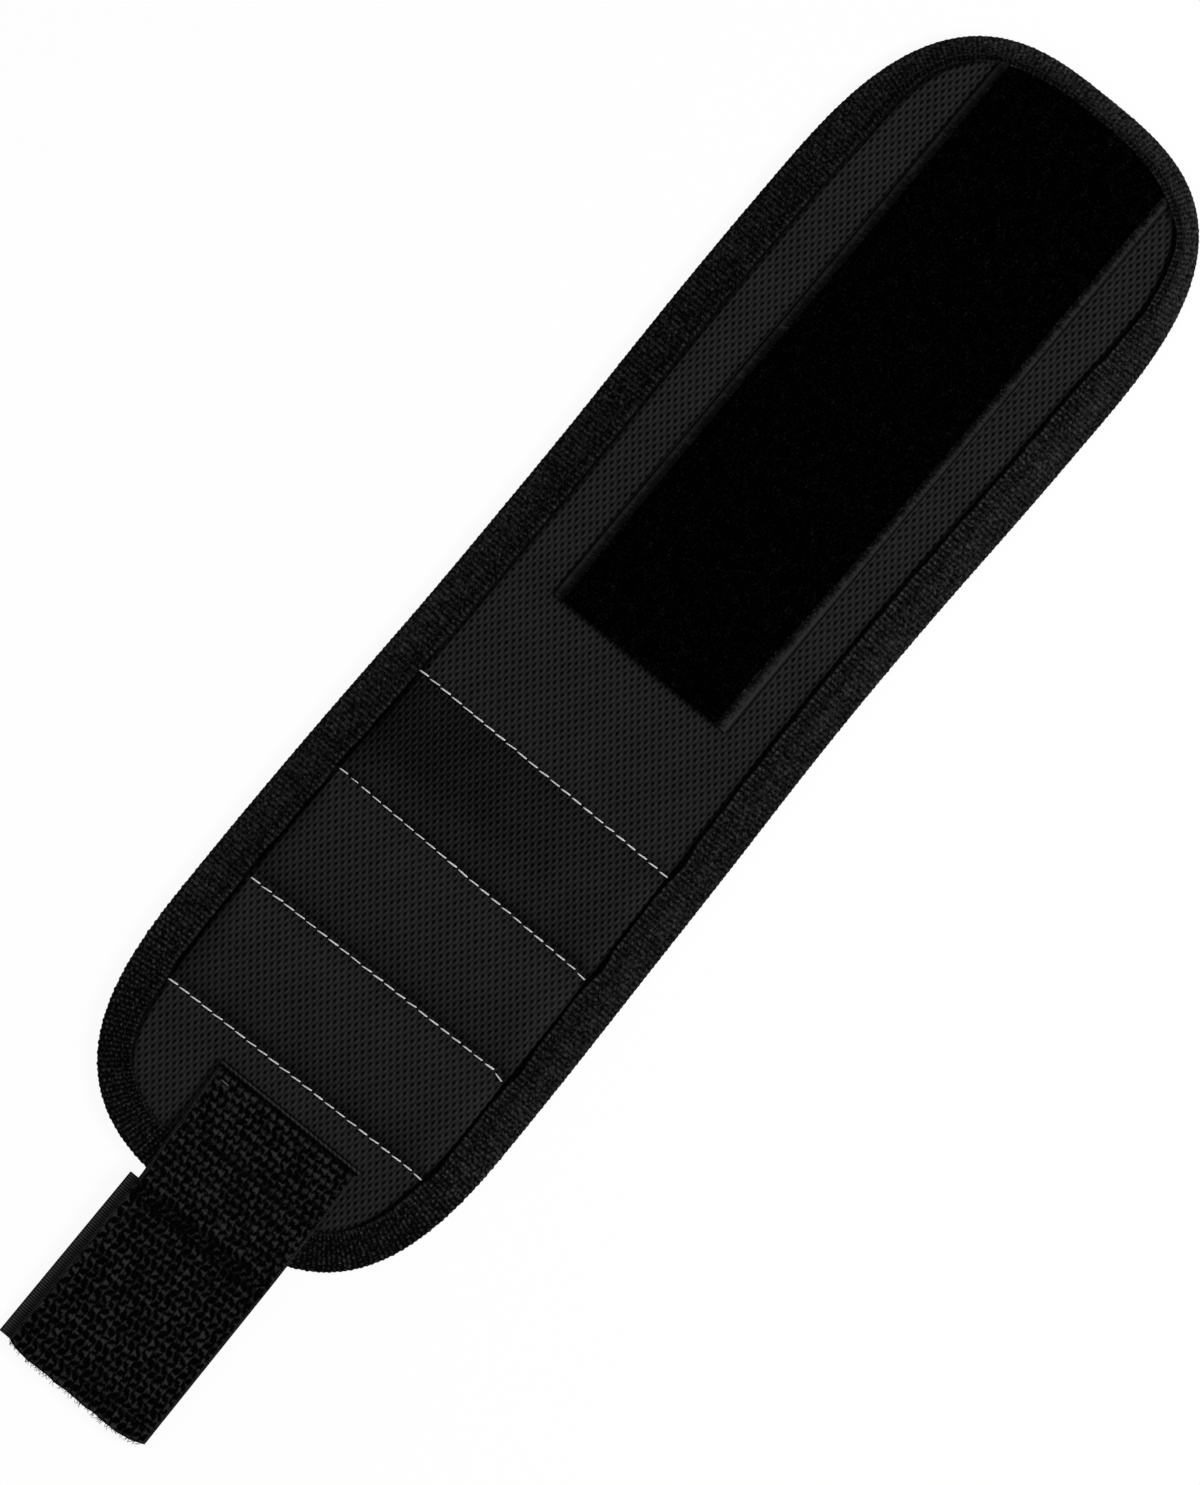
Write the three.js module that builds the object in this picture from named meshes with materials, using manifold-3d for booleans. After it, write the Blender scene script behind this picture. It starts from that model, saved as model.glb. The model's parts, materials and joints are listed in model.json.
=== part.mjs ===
// A wrist band that holds screws, nails and bits: a sewn panel with three magnet pockets, a strip of
// loop tape to fasten to, and an elastic tail with hook tape. Millimetres, +Z up. The band lies flat
// with its lining down, +X runs from the tail to the loop end, and the origin is under the middle.
// Cloth that bends is made in stretches that meet at the bend lines, so that the band can be worn.

import * as THREE from 'three';
import { mergeVertices } from 'three/addons/utils/BufferGeometryUtils.js';
import Module from 'manifold-3d';

const wasm = await Module();
wasm.setup();

// Panel outline
const panelLength = 320;
const pocketHalfWidth = 46.65;
const waistHalfWidth = 44.2;
const loopHalfWidth = 45.65;
const pocketWidePlace = 60; // from the panel's tail edge, as the next two
const waistPlace = 180;
const loopWidePlace = 249;
const tailRounding = 59; // length over which each end closes in
const loopRounding = 62;
const roundingPower = 3;
const sidewaysBow = 2.9; // how far the loop end swings to -Y

// Bend lines
const tailEndLength = 36.7; // panel edge to the first row of pocket stitches
const pocketPitch = 29.1; // between neighbouring rows of stitches
const pocketCount = 3;
const plainLength = 33; // last row of stitches to the loop tape's first bend line
const loopSegmentCount = 4;
const wornBend = 74; // largest bend at one line when worn, in degrees
const bendHeight = 1; // height of the bend axes above the lining's face
const bendGap = 0.3;

// Layers, from the lining up
const liningThickness = 2;
const shellThickness = 0.8;
const bindingThickness = 0.7;
const bindingWidth = 9.4;
const bindingRound = 1.2;
const layerGap = 0.2;
const edgeClearance = 0.3;

// Pockets
const seamAllowance = 1.2;
const pocketRise = 6; // distance over which a pocket's ends rise
const crownPower = 0.6; // lower is fuller
const magnetDiameter = 15;
const magnetThickness = 2;
const magnetsPerPocket = 3;
const seatClearance = 0.3;
const carrierRim = 1.5;
const carrierCorner = 3;
const threadDiameter = 1;

// Loop tape
const loopTapeWidth = 50;
const loopTapeThickness = 1.6;
const loopTapeShift = -0.5; // across the band, from its middle line
const loopTapeSetback = 0.7; // after its first bend line

// Elastic tail
const elasticWidth = 38;
const elasticThickness = 1.4;
const elasticShift = -6.2; // across the band, from its middle line
const elasticOverlap = 30.1; // sewn length on the panel
const elasticDip = 2; // length over which it drops from the binding to the shell
const foldOverhang = 0.9; // fold axis outside the panel's edge
const stretchLength = 6.2; // free elastic between the fold and the sewn hook tape
const tailLength = 48.4; // fold to free end
const hookThickness = 1.6;
const hookWidth = 38;
const hookShift = 2.3; // across the elastic
const hookStart = 2.1; // from the fold
const hookLength = 45.3;
const pieceGap = 0.25;

// Heights that follow from the layers
const shellBottom = liningThickness + layerGap;
const shellTop = shellBottom + shellThickness;
const bindingTop = shellTop + layerGap + bindingThickness;
const foldHeight = bindingTop + layerGap + elasticThickness / 2;

// The tail slopes down until the lower corner of its hook tape meets the surface under the band
const hookDepth = elasticThickness / 2 + layerGap + hookThickness;
const hookEnd = hookStart + hookLength;
const cornerReach = Math.hypot(hookEnd, hookDepth);
const tailSlope = Math.asin(foldHeight / cornerReach) - Math.atan2(hookDepth, hookEnd);

// Places along the band
const tailReach = tailLength * Math.cos(tailSlope) + (elasticThickness / 2) * Math.sin(tailSlope);
const totalLength = panelLength + foldOverhang + tailReach;
const panelEnd = totalLength / 2;
const panelStart = panelEnd - panelLength;
const firstStitch = panelStart + tailEndLength;
const lastStitch = firstStitch + pocketCount * pocketPitch;
const loopStart = lastStitch + plainLength;
const foldPlace = panelStart - foldOverhang;
const beyond = panelLength; // reaches past the whole panel in cuts

function segment(name, start, end) {
  return { name, start, end, bendsAtStart: start > panelStart, bendsAtEnd: end < panelEnd };
}

const segments = [segment('tail_end', panelStart, firstStitch)];
for (let i = 0; i < pocketCount; i += 1) {
  const start = firstStitch + i * pocketPitch;
  segments.push(segment(`pocket_${i + 1}`, start, start + pocketPitch));
}
segments.push(segment('loop_1', lastStitch, loopStart));
for (let i = 0; i < loopSegmentCount; i += 1) {
  const step = (panelEnd - loopStart) / loopSegmentCount;
  const end = i + 1 < loopSegmentCount ? loopStart + (i + 1) * step : panelEnd;
  segments.push(segment(`loop_${i + 2}`, loopStart + i * step, end));
}
const pocketSegments = segments.slice(1, pocketCount + 1);
const loopSegments = segments.slice(pocketCount + 2);

// Middle line, which bows sideways after the pockets
function middleLine(x) {
  const along = Math.max(0, (x - lastStitch) / (panelEnd - lastStitch));
  return -sidewaysBow * along ** 2;
}

// Half width of the sides: widest at the pockets, waisted, and wider again over the loop tape
function sideHalfWidth(x) {
  const place = x - panelStart;
  const waisted = THREE.MathUtils.smoothstep(place, pocketWidePlace, waistPlace);
  const widened = THREE.MathUtils.smoothstep(place, waistPlace, loopWidePlace);
  const narrowing = THREE.MathUtils.lerp(pocketHalfWidth, waistHalfWidth, waisted);
  return narrowing + (loopHalfWidth - waistHalfWidth) * widened;
}

// Share of the side's half width left at a distance from a rounded end
function endShare(distance, rounding) {
  const left = Math.max(0, 1 - distance / rounding);
  return (1 - left ** roundingPower) ** (1 / roundingPower);
}

function halfWidth(x) {
  return sideHalfWidth(x) * endShare(x - panelStart, tailRounding) * endShare(panelEnd - x, loopRounding);
}

// Distances from a rounded end, close together at its tip
function endDistances(rounding) {
  const steps = 12;
  const crowding = 1.5;
  return Array.from({ length: steps + 1 }, (_, i) => {
    const angle = (Math.PI / 2) * (i / steps) ** crowding;
    return rounding * (1 - Math.max(0, Math.cos(angle)) ** (2 / roundingPower));
  });
}

function panelStations() {
  const tail = endDistances(tailRounding).map((distance) => panelStart + distance);
  const loop = endDistances(loopRounding).map((distance) => panelEnd - distance);
  const sideSteps = 8;
  const from = panelStart + tailRounding;
  const sideLength = panelLength - tailRounding - loopRounding;
  const step = sideLength / sideSteps;
  const sides = Array.from({ length: sideSteps - 1 }, (_, i) => from + step * (i + 1));
  return [...tail, ...sides, ...loop.reverse()];
}

// Panel outline, moved inwards along its normals
function panelOutline(inset) {
  const stations = panelStations();
  const right = stations.map((x) => new THREE.Vector2(x, middleLine(x) - halfWidth(x)));
  const left = stations.slice(1, -1).map((x) => new THREE.Vector2(x, middleLine(x) + halfWidth(x)));
  const points = [...right, ...left.reverse()];
  return points.map((point, i) => {
    const before = points[(i + points.length - 1) % points.length];
    const after = points[(i + 1) % points.length];
    const inward = new THREE.Vector2(before.y - after.y, after.x - before.x).normalize();
    return point.clone().addScaledVector(inward, inset);
  });
}

function slab(outline, bottom, top) {
  const geometry = new THREE.ExtrudeGeometry(new THREE.Shape(outline), {
    depth: top - bottom,
    bevelEnabled: false,
  });
  return geometry.translate(0, 0, bottom);
}

// A side view in X and Z, carried across the band
function acrossBand(points, width, curveSegments = 6) {
  const shape = points instanceof THREE.Shape ? points : new THREE.Shape(points);
  const geometry = new THREE.ExtrudeGeometry(shape, { depth: width, bevelEnabled: false, curveSegments });
  return geometry.rotateX(Math.PI / 2).translate(0, width / 2, 0);
}

function solid(geometry) {
  const bare = geometry.clone();
  bare.deleteAttribute('normal');
  bare.deleteAttribute('uv');
  const merged = mergeVertices(bare);
  const vertProperties = new Float32Array(merged.getAttribute('position').array);
  const triVerts = new Uint32Array(merged.getIndex().array);
  return new wasm.Manifold(new wasm.Mesh({ numProp: 3, vertProperties, triVerts }));
}

function geometryOf(body) {
  const mesh = body.getMesh();
  const geometry = new THREE.BufferGeometry();
  geometry.setAttribute('position', new THREE.BufferAttribute(mesh.vertProperties, 3));
  geometry.setIndex(new THREE.BufferAttribute(mesh.triVerts, 1));
  geometry.computeVertexNormals();
  return geometry;
}

// The space of one stretch of the band, with its lower edges cut back so that it can bend
function segmentSpace(part) {
  const start = part.bendsAtStart ? part.start + bendGap / 2 : part.start - beyond;
  const end = part.bendsAtEnd ? part.end - bendGap / 2 : part.end + beyond;
  const relief = Math.tan(THREE.MathUtils.degToRad(wornBend / 2));
  const below = bendHeight; // how far the space reaches under the lining's face
  const setback = (bendHeight + below) * relief;
  const corners = [
    [start + setback, -below],
    [end - setback, -below],
    [end, bendHeight],
    [end, beyond],
    [start, beyond],
    [start, bendHeight],
  ];
  return solid(acrossBand(corners.map(([x, z]) => new THREE.Vector2(x, z)), beyond));
}

function sideSpace(side) {
  const half = new THREE.BoxGeometry(2 * beyond, beyond, beyond);
  return solid(half.translate(0, (side * beyond) / 2, 0));
}

// Whole layers, before they are cut at the bend lines
function liningLayer() {
  const pad = slab(panelOutline(bindingWidth + edgeClearance), 0, liningThickness);
  const hemInset = bindingThickness + edgeClearance;
  const hem = slab(panelOutline(hemInset), bindingThickness + layerGap, liningThickness);
  return solid(pad).add(solid(hem));
}

function shellLayer() {
  return solid(slab(panelOutline(bindingThickness + edgeClearance), shellBottom, shellTop));
}

// A tape folded over the panel's edge: a rounded slab, less the slot for the layers and the middle
function bindingLayer() {
  const folded = new THREE.ExtrudeGeometry(new THREE.Shape(panelOutline(0)), {
    depth: bindingTop - 2 * bindingRound,
    bevelThickness: bindingRound,
    bevelSize: bindingRound,
    bevelOffset: -bindingRound,
    bevelSegments: 2,
  }).translate(0, 0, bindingRound);
  const slot = slab(panelOutline(bindingThickness), bindingThickness, bindingTop - bindingThickness);
  const middle = slab(panelOutline(bindingWidth), -bindingTop, 2 * bindingTop);
  return solid(folded).subtract(solid(slot)).subtract(solid(middle));
}

function loopTapeLayer() {
  const bottom = shellTop + layerGap;
  const steps = 4;
  const start = loopStart + loopTapeSetback;
  const step = (panelEnd - start) / steps;
  const stations = Array.from({ length: steps + 1 }, (_, i) => start + step * i);
  const edge = (side) => (x) =>
    new THREE.Vector2(x, middleLine(x) + loopTapeShift + (side * loopTapeWidth) / 2);
  const outline = [...stations.map(edge(-1)), ...stations.reverse().map(edge(1))];
  const tape = solid(slab(outline, bottom, bottom + loopTapeThickness));
  const inside = slab(panelOutline(bindingWidth + edgeClearance), 0, bottom + 2 * loopTapeThickness);
  return tape.intersect(solid(inside));
}

// Pocket sizes that follow from what a pocket holds
const pocketHalfLength = pocketPitch / 2 - seamAllowance;
const carrierWidth = magnetDiameter + 2 * carrierRim;
const carrierBottom = liningThickness + layerGap;
const crownAtCarrier = (1 - (carrierWidth / 2 / pocketHalfLength) ** 2) ** crownPower;
const crownHeight = (magnetThickness + 2 * layerGap) / crownAtCarrier;

// Half width of the panel at an inset that is measured square to its edge
function insetHalfWidth(x, inset) {
  const step = 0.5;
  const slope = (halfWidth(x + step) - halfWidth(x - step)) / (2 * step);
  return halfWidth(x) - inset * Math.hypot(1, slope);
}

function clearHalfWidth(x) {
  return insetHalfWidth(x, bindingWidth + edgeClearance);
}

// Height of a pocket's crown: full along the band, rising from the stitches and from the binding
function crown(along, fromBinding) {
  const lengthways = Math.max(0, 1 - (along / pocketHalfLength) ** 2) ** crownPower;
  const left = Math.max(0, 1 - Math.max(0, fromBinding) / pocketRise);
  return crownHeight * lengthways * Math.sqrt(1 - left ** 2);
}

// A closed sheet on a grid of places, each with its own lower and upper height
function gridSheet(columns, rows, place) {
  const count = columns * rows;
  const positions = new Float32Array(6 * count);
  for (let i = 0; i < columns; i += 1) {
    for (let j = 0; j < rows; j += 1) {
      const { x, y, bottom, top } = place(i, j);
      positions.set([x, y, top], 3 * (i * rows + j));
      positions.set([x, y, bottom], 3 * (count + i * rows + j));
    }
  }
  const faces = [];
  for (let i = 0; i + 1 < columns; i += 1) {
    for (let j = 0; j + 1 < rows; j += 1) {
      const a = i * rows + j;
      const b = a + rows;
      faces.push(a, b, b + 1, a, b + 1, a + 1);
      faces.push(count + a, count + b + 1, count + b, count + a, count + a + 1, count + b + 1);
    }
  }
  const rim = [];
  for (let i = 0; i + 1 < columns; i += 1) rim.push(i * rows);
  for (let j = 0; j + 1 < rows; j += 1) rim.push((columns - 1) * rows + j);
  for (let i = columns - 1; i > 0; i -= 1) rim.push(i * rows + rows - 1);
  for (let j = rows - 1; j > 0; j -= 1) rim.push(j);
  rim.forEach((a, k) => {
    const b = rim[(k + 1) % rim.length];
    faces.push(count + a, count + b, b, count + a, b, a);
  });
  const geometry = new THREE.BufferGeometry();
  geometry.setAttribute('position', new THREE.BufferAttribute(positions, 3));
  geometry.setIndex(faces);
  geometry.computeVertexNormals();
  return geometry;
}

// Shell of one pocket, puffed up over its magnets and flat along its seams
function pocketShell(part) {
  const middle = (part.start + part.end) / 2;
  const crownSteps = 10;
  const crownPlaces = Array.from(
    { length: crownSteps + 1 },
    (_, i) => middle - pocketHalfLength * Math.cos((Math.PI * i) / crownSteps),
  );
  const xs = [part.start + bendGap / 2, ...crownPlaces, part.end - bendGap / 2];
  const riseSteps = 4;
  const flatSteps = 3;
  const insets = [(clear, x) => clear - insetHalfWidth(x, bindingThickness + edgeClearance)];
  for (let i = 0; i <= riseSteps; i += 1) {
    const inset = pocketRise * (1 - Math.cos(((Math.PI / 2) * i) / riseSteps));
    insets.push(() => inset);
  }
  for (let i = 1; i < flatSteps; i += 1) {
    insets.push((clear) => pocketRise + ((clear - pocketRise) * i) / flatSteps);
  }
  const rows = 2 * insets.length + 1;
  return gridSheet(xs.length, rows, (i, j) => {
    const x = xs[i];
    const clear = clearHalfWidth(x);
    const side = Math.sign(j - insets.length);
    const fromBinding = side === 0 ? clear : insets[side < 0 ? j : rows - 1 - j](clear, x);
    const lift = crown(x - middle, fromBinding);
    const y = middleLine(x) + side * (clear - fromBinding);
    return { x, y, bottom: shellBottom + lift, top: shellTop + lift };
  });
}

// Places of one pocket's magnets, evenly spread along the carrier that fills its flat length
function magnetRow(part) {
  const clear = Math.min(clearHalfWidth(part.start), clearHalfWidth(part.end));
  const carrierLength = 2 * (clear - pocketRise);
  const spacing = carrierLength / magnetsPerPocket;
  const middle = (magnetsPerPocket - 1) / 2;
  const ys = Array.from({ length: magnetsPerPocket }, (_, i) => spacing * (i - middle));
  return { x: (part.start + part.end) / 2, ys, carrierLength };
}

function magnetCarrier({ x, ys, carrierLength }) {
  const w = carrierWidth / 2;
  const l = carrierLength / 2;
  const c = carrierCorner;
  const shape = new THREE.Shape();
  shape.absarc(w - c, l - c, c, 0, Math.PI / 2);
  shape.absarc(-w + c, l - c, c, Math.PI / 2, Math.PI);
  shape.absarc(-w + c, -l + c, c, Math.PI, 1.5 * Math.PI);
  shape.absarc(w - c, -l + c, c, 1.5 * Math.PI, 2 * Math.PI);
  ys.forEach((y) => {
    const seat = new THREE.Path();
    seat.absarc(0, y, magnetDiameter / 2 + seatClearance, 0, 2 * Math.PI);
    shape.holes.push(seat);
  });
  const strip = new THREE.ExtrudeGeometry(shape, {
    depth: magnetThickness,
    bevelEnabled: false,
    curveSegments: 10,
  });
  return strip.translate(x, middleLine(x), carrierBottom);
}

function magnet(x, y) {
  const disc = new THREE.CylinderGeometry(magnetDiameter / 2, magnetDiameter / 2, magnetThickness, 20);
  return disc.rotateX(Math.PI / 2).translate(x, middleLine(x) + y, carrierBottom + magnetThickness / 2);
}

function stitchRow(x) {
  const length = 2 * clearHalfWidth(x);
  const thread = new THREE.CylinderGeometry(threadDiameter / 2, threadDiameter / 2, length, 8);
  return thread.translate(x, middleLine(x), shellTop + layerGap + threadDiameter / 2);
}

// Where the end binding's inner edge crosses a line along the band, at the tail
function endBindingReach(y) {
  const outline = panelOutline(bindingWidth);
  const crossings = outline.flatMap((point, i) => {
    const next = outline[(i + 1) % outline.length];
    const share = (y - point.y) / (next.y - point.y);
    return share >= 0 && share <= 1 ? [THREE.MathUtils.lerp(point.x, next.x, share)] : [];
  });
  return Math.min(...crossings);
}

// Elastic sewn to the panel: it lies on the end binding and drops to the shell behind it
function elasticAnchor() {
  const edges = [elasticShift - elasticWidth / 2, elasticShift + elasticWidth / 2];
  const dipStart = Math.max(...edges.map(endBindingReach)) + edgeClearance;
  const outerEnd = foldPlace + elasticThickness / 2 + pieceGap;
  const innerEnd = panelStart + elasticOverlap;
  const high = bindingTop + layerGap;
  const low = shellTop + layerGap;
  const under = [
    [outerEnd, high],
    [dipStart, high],
    [dipStart + elasticDip, low],
    [innerEnd, low],
  ];
  const over = under.map(([x, z]) => [x, z + elasticThickness]).reverse();
  const corners = [...under, ...over].map(([x, z]) => new THREE.Vector2(x, z));
  return acrossBand(corners, elasticWidth).translate(0, elasticShift, 0);
}

// Short free elastic, round at the fold so that it turns beside the sewn elastic
function elasticStretch() {
  const half = elasticThickness / 2;
  const end = -stretchLength + pieceGap / 2;
  const shape = new THREE.Shape();
  shape.moveTo(end, -half);
  shape.lineTo(0, -half);
  shape.absarc(0, 0, half, -Math.PI / 2, Math.PI / 2);
  shape.lineTo(end, half);
  return acrossBand(shape, elasticWidth);
}

function elasticTail() {
  const length = tailLength - stretchLength - pieceGap / 2;
  const strip = new THREE.BoxGeometry(length, elasticWidth, elasticThickness);
  return strip.translate(length / 2 - tailLength, 0, 0);
}

function hookTape() {
  const strip = new THREE.BoxGeometry(hookLength, hookWidth, hookThickness);
  const height = hookThickness / 2 - hookDepth;
  return strip.translate(-hookStart - hookLength / 2, hookShift, height);
}

// Finishes: colour, roughness and metalness
const shellCloth = [0x1c1c1e, 0.85, 0];
const liningMesh = [0x202022, 0.95, 0];
const bindingTape = [0x121214, 0.9, 0];
const loopPile = [0x050506, 1, 0];
const whiteThread = [0xf4f4f2, 0.6, 0];
const foam = [0x2a2a2c, 0.95, 0];
const nickel = [0xb9bbbe, 0.25, 1];
const elasticKnit = [0x0c0c0d, 0.9, 0];
const hookNylon = [0x161618, 0.7, 0];

const wristband = new THREE.Group();
const tail = new THREE.Group();
tail.position.set(foldPlace, elasticShift, foldHeight);
tail.rotation.y = -tailSlope;
wristband.add(tail);

function addPiece(name, geometry, [color, roughness, metalness], group = wristband) {
  const mesh = new THREE.Mesh(geometry, new THREE.MeshStandardMaterial({ color, roughness, metalness }));
  mesh.name = name;
  group.add(mesh);
}

const lining = liningLayer();
const shell = shellLayer();
const binding = bindingLayer();
const loopTape = loopTapeLayer();
const leftSide = sideSpace(1);
const rightSide = sideSpace(-1);

segments.forEach((part) => {
  const space = segmentSpace(part);
  const crowned = pocketSegments.includes(part);
  const cover = crowned ? pocketShell(part) : geometryOf(shell.intersect(space));
  addPiece(`mesh_lining_${part.name}`, geometryOf(lining.intersect(space)), liningMesh);
  addPiece(`outer_shell_${part.name}`, cover, shellCloth);
  const edging = binding.intersect(space);
  if (part.bendsAtStart && part.bendsAtEnd) {
    addPiece(`edge_binding_${part.name}_left`, geometryOf(edging.intersect(leftSide)), bindingTape);
    addPiece(`edge_binding_${part.name}_right`, geometryOf(edging.intersect(rightSide)), bindingTape);
  } else {
    addPiece(`edge_binding_${part.name}`, geometryOf(edging), bindingTape);
  }
  if (loopSegments.includes(part)) {
    addPiece(`loop_tape_${part.name}`, geometryOf(loopTape.intersect(space)), loopPile);
  }
});

for (let i = 0; i <= pocketCount; i += 1) {
  addPiece(`pocket_stitch_${i + 1}`, stitchRow(firstStitch + i * pocketPitch), whiteThread);
}

pocketSegments.forEach((part) => {
  const row = magnetRow(part);
  addPiece(`magnet_carrier_${part.name}`, magnetCarrier(row), foam);
  row.ys.forEach((y, i) => addPiece(`magnet_${part.name}_${i + 1}`, magnet(row.x, y), nickel));
});

addPiece('elastic_anchor', elasticAnchor(), elasticKnit);
addPiece('elastic_stretch', elasticStretch(), elasticKnit, tail);
addPiece('elastic_tail', elasticTail(), elasticKnit, tail);
addPiece('hook_tape', hookTape(), hookNylon, tail);

export default wristband;
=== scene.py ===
import json

import bpy
import numpy as np
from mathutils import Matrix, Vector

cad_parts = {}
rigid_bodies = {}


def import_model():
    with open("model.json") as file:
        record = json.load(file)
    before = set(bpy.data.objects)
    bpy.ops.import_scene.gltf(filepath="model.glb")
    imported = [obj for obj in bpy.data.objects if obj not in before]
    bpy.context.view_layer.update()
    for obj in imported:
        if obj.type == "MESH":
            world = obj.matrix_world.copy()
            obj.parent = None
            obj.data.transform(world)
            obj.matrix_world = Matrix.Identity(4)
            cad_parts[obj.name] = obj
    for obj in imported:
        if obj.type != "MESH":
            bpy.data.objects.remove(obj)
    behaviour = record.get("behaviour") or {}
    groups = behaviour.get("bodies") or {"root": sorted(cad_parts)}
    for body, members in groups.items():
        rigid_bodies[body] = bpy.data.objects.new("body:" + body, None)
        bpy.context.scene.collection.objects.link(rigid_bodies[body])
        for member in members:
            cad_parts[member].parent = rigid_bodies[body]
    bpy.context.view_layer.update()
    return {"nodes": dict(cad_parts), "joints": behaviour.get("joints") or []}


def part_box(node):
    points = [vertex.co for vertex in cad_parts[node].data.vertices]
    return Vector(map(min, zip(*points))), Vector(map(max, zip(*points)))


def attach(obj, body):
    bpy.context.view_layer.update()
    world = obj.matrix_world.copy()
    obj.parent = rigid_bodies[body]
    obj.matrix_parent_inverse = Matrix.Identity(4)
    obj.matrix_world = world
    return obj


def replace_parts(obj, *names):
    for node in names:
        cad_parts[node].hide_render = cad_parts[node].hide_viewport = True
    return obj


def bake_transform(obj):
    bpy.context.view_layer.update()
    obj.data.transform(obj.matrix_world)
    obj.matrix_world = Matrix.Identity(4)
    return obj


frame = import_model()

bl_info = {
    "name": "Magnetic Wristband",
    "version": (1, 0, 0),
    "blender": (4, 5, 0),
    "location": "3D View > Sidebar > Wristband",
    "description": "Dresses a wrist band with magnet pockets in woven cloth, tape, thread, pile and elastic",
    "category": "Object",
}

MM = 0.001

# The band in order along +X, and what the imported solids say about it
SEGMENTS = ("tail_end", "pocket_1", "pocket_2", "pocket_3", "loop_1", "loop_2", "loop_3", "loop_4", "loop_5")


def joint_between(first, second):
    """The joint that joins two bodies."""
    for joint in frame["joints"]:
        if {joint["parent"], joint["child"]} == {first, second}:
            return joint
    raise KeyError(f"no joint between {first} and {second}")


BENDS = np.array([joint_between(*pair)["pos_m"][0] for pair in zip(SEGMENTS, SEGMENTS[1:])])
PANEL_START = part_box("edge_binding_tail_end")[0].x
PANEL_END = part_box("edge_binding_loop_5")[1].x
CUTS = np.concatenate([[PANEL_START], (BENDS[1:] + BENDS[:-1]) / 2, [PANEL_END]])
STITCH_LINES = BENDS[:4]
SHELL_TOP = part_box("outer_shell_loop_1")[1].z
CROWN_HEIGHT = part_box("outer_shell_pocket_2")[1].z - SHELL_TOP
BINDING_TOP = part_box("edge_binding_loop_2_left")[1].z
PILE_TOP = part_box("loop_tape_loop_3")[1].z
PILE_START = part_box("loop_tape_loop_2")[0].x - 1.0 * MM
PILE_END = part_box("loop_tape_loop_5")[1].x
FOLD = np.array(joint_between("tail_end", "strap_root")["pos_m"])
TAIL_WAY = np.array(joint_between("strap_root", "hook_tail")["axis"])
TAIL_UP = np.array([TAIL_WAY[2], 0.0, -TAIL_WAY[0]])
ELASTIC_HALF = (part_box("elastic_anchor")[1].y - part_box("elastic_anchor")[0].y) / 2
ELASTIC_START = FOLD[0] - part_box("elastic_anchor")[1].x
ELASTIC_END = (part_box("elastic_tail")[0].x - FOLD[0]) / TAIL_WAY[0]
HOOK_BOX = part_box("hook_tape")

# The panel's outline, as in its solids but for a waist 0.5 mm wider to each side
POCKET_HALF_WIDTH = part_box("edge_binding_pocket_1_left")[1].y
WAIST_HALF_WIDTH = 44.7 * MM
LOOP_HALF_WIDTH = 45.65 * MM
WIDTH_PLACES = (60 * MM, 180 * MM, 249 * MM)
TAIL_ROUNDING = 59 * MM
LOOP_ROUNDING = 62 * MM
ROUNDING_POWER = 3
SIDEWAYS_BOW = 2.9 * MM

# The binding, how far inside the panel's edge the cloths end, and the seam outside the binding's inner edge
BINDING_WIDTH = 9.4 * MM
BINDING_THICKNESS = 0.7 * MM
SHELL_INSET = 3.6 * MM
LINING_INSET = 6.5 * MM
SEAM_INSET = 2.7 * MM

# The pockets' swell: how far beside a row it starts, its rise from the binding, and the arch's power
SEAM_ALLOWANCE = 1.2 * MM
POCKET_RISE = 6 * MM
CROWN_POWER = 0.6

# Each white row's place beside its bend line, its lean over its length, and the curl of its last stitches
ROW_SHIFTS = np.array([0.11, -0.05, 0.78, 0.2]) * MM
ROW_LEANS = np.array([-0.012, -0.011, 0.027, 0.016])
ROW_CURLS = np.array([0.4, 1.3, 0.5, 0.1]) * MM
ROW_REACH = 36.4 * MM

# The first bend line that the loop tape crosses
TAPE_BEND = 4

# Ways from the elastic's fold: where its two pieces meet, and its two seams
ELASTIC_JOIN = 1.2 * MM
SEWN_SEAM = -14.7 * MM
TAIL_SEAM = 43.9 * MM

# Rows pressed into the elastic: the way from its fold, the half width, and the depth as a share
PRESSED_ROWS = (
    (-29.6 * MM, 0.7 * MM, 0.4), (SEWN_SEAM, 0.6 * MM, 0.45), (2.1 * MM, 0.45 * MM, 0.8),
    (4.5 * MM, 0.5 * MM, 0.9), (9.2 * MM, 0.5 * MM, 0.3), (TAIL_SEAM, 0.35 * MM, 0.5),
)

# How far beside its upper face the lower face of a closed tape lies on its UV map
UNDER_UV = 60 * MM

# The view from above, and half the floor's width
VIEW_TURN = np.radians(-50.87)
CAMERA_PLACE = (2.11 * MM, -5.27 * MM, 1833.3 * MM + SHELL_TOP)
FLOOR_HALF = 4.0

# How far out the lamps stand, and each one's name, bearing in degrees, height, width and power
LAMP_REACH = 0.95
LAMPS = (("key", -62, 0.8, 0.5, 13.0), ("fill", 120, 1.1, 1.0, 2.0))


def length_setting(name, description, default):
    """A size in metres that a user may change."""
    return bpy.props.FloatProperty(
        name=name, description=description, default=default, min=0, precision=5, unit="LENGTH")


def colour_setting(name, description, default):
    """A colour that a user may change."""
    return bpy.props.FloatVectorProperty(
        name=name, description=description, default=default, size=3, min=0, max=1, subtype="COLOR")


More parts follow.
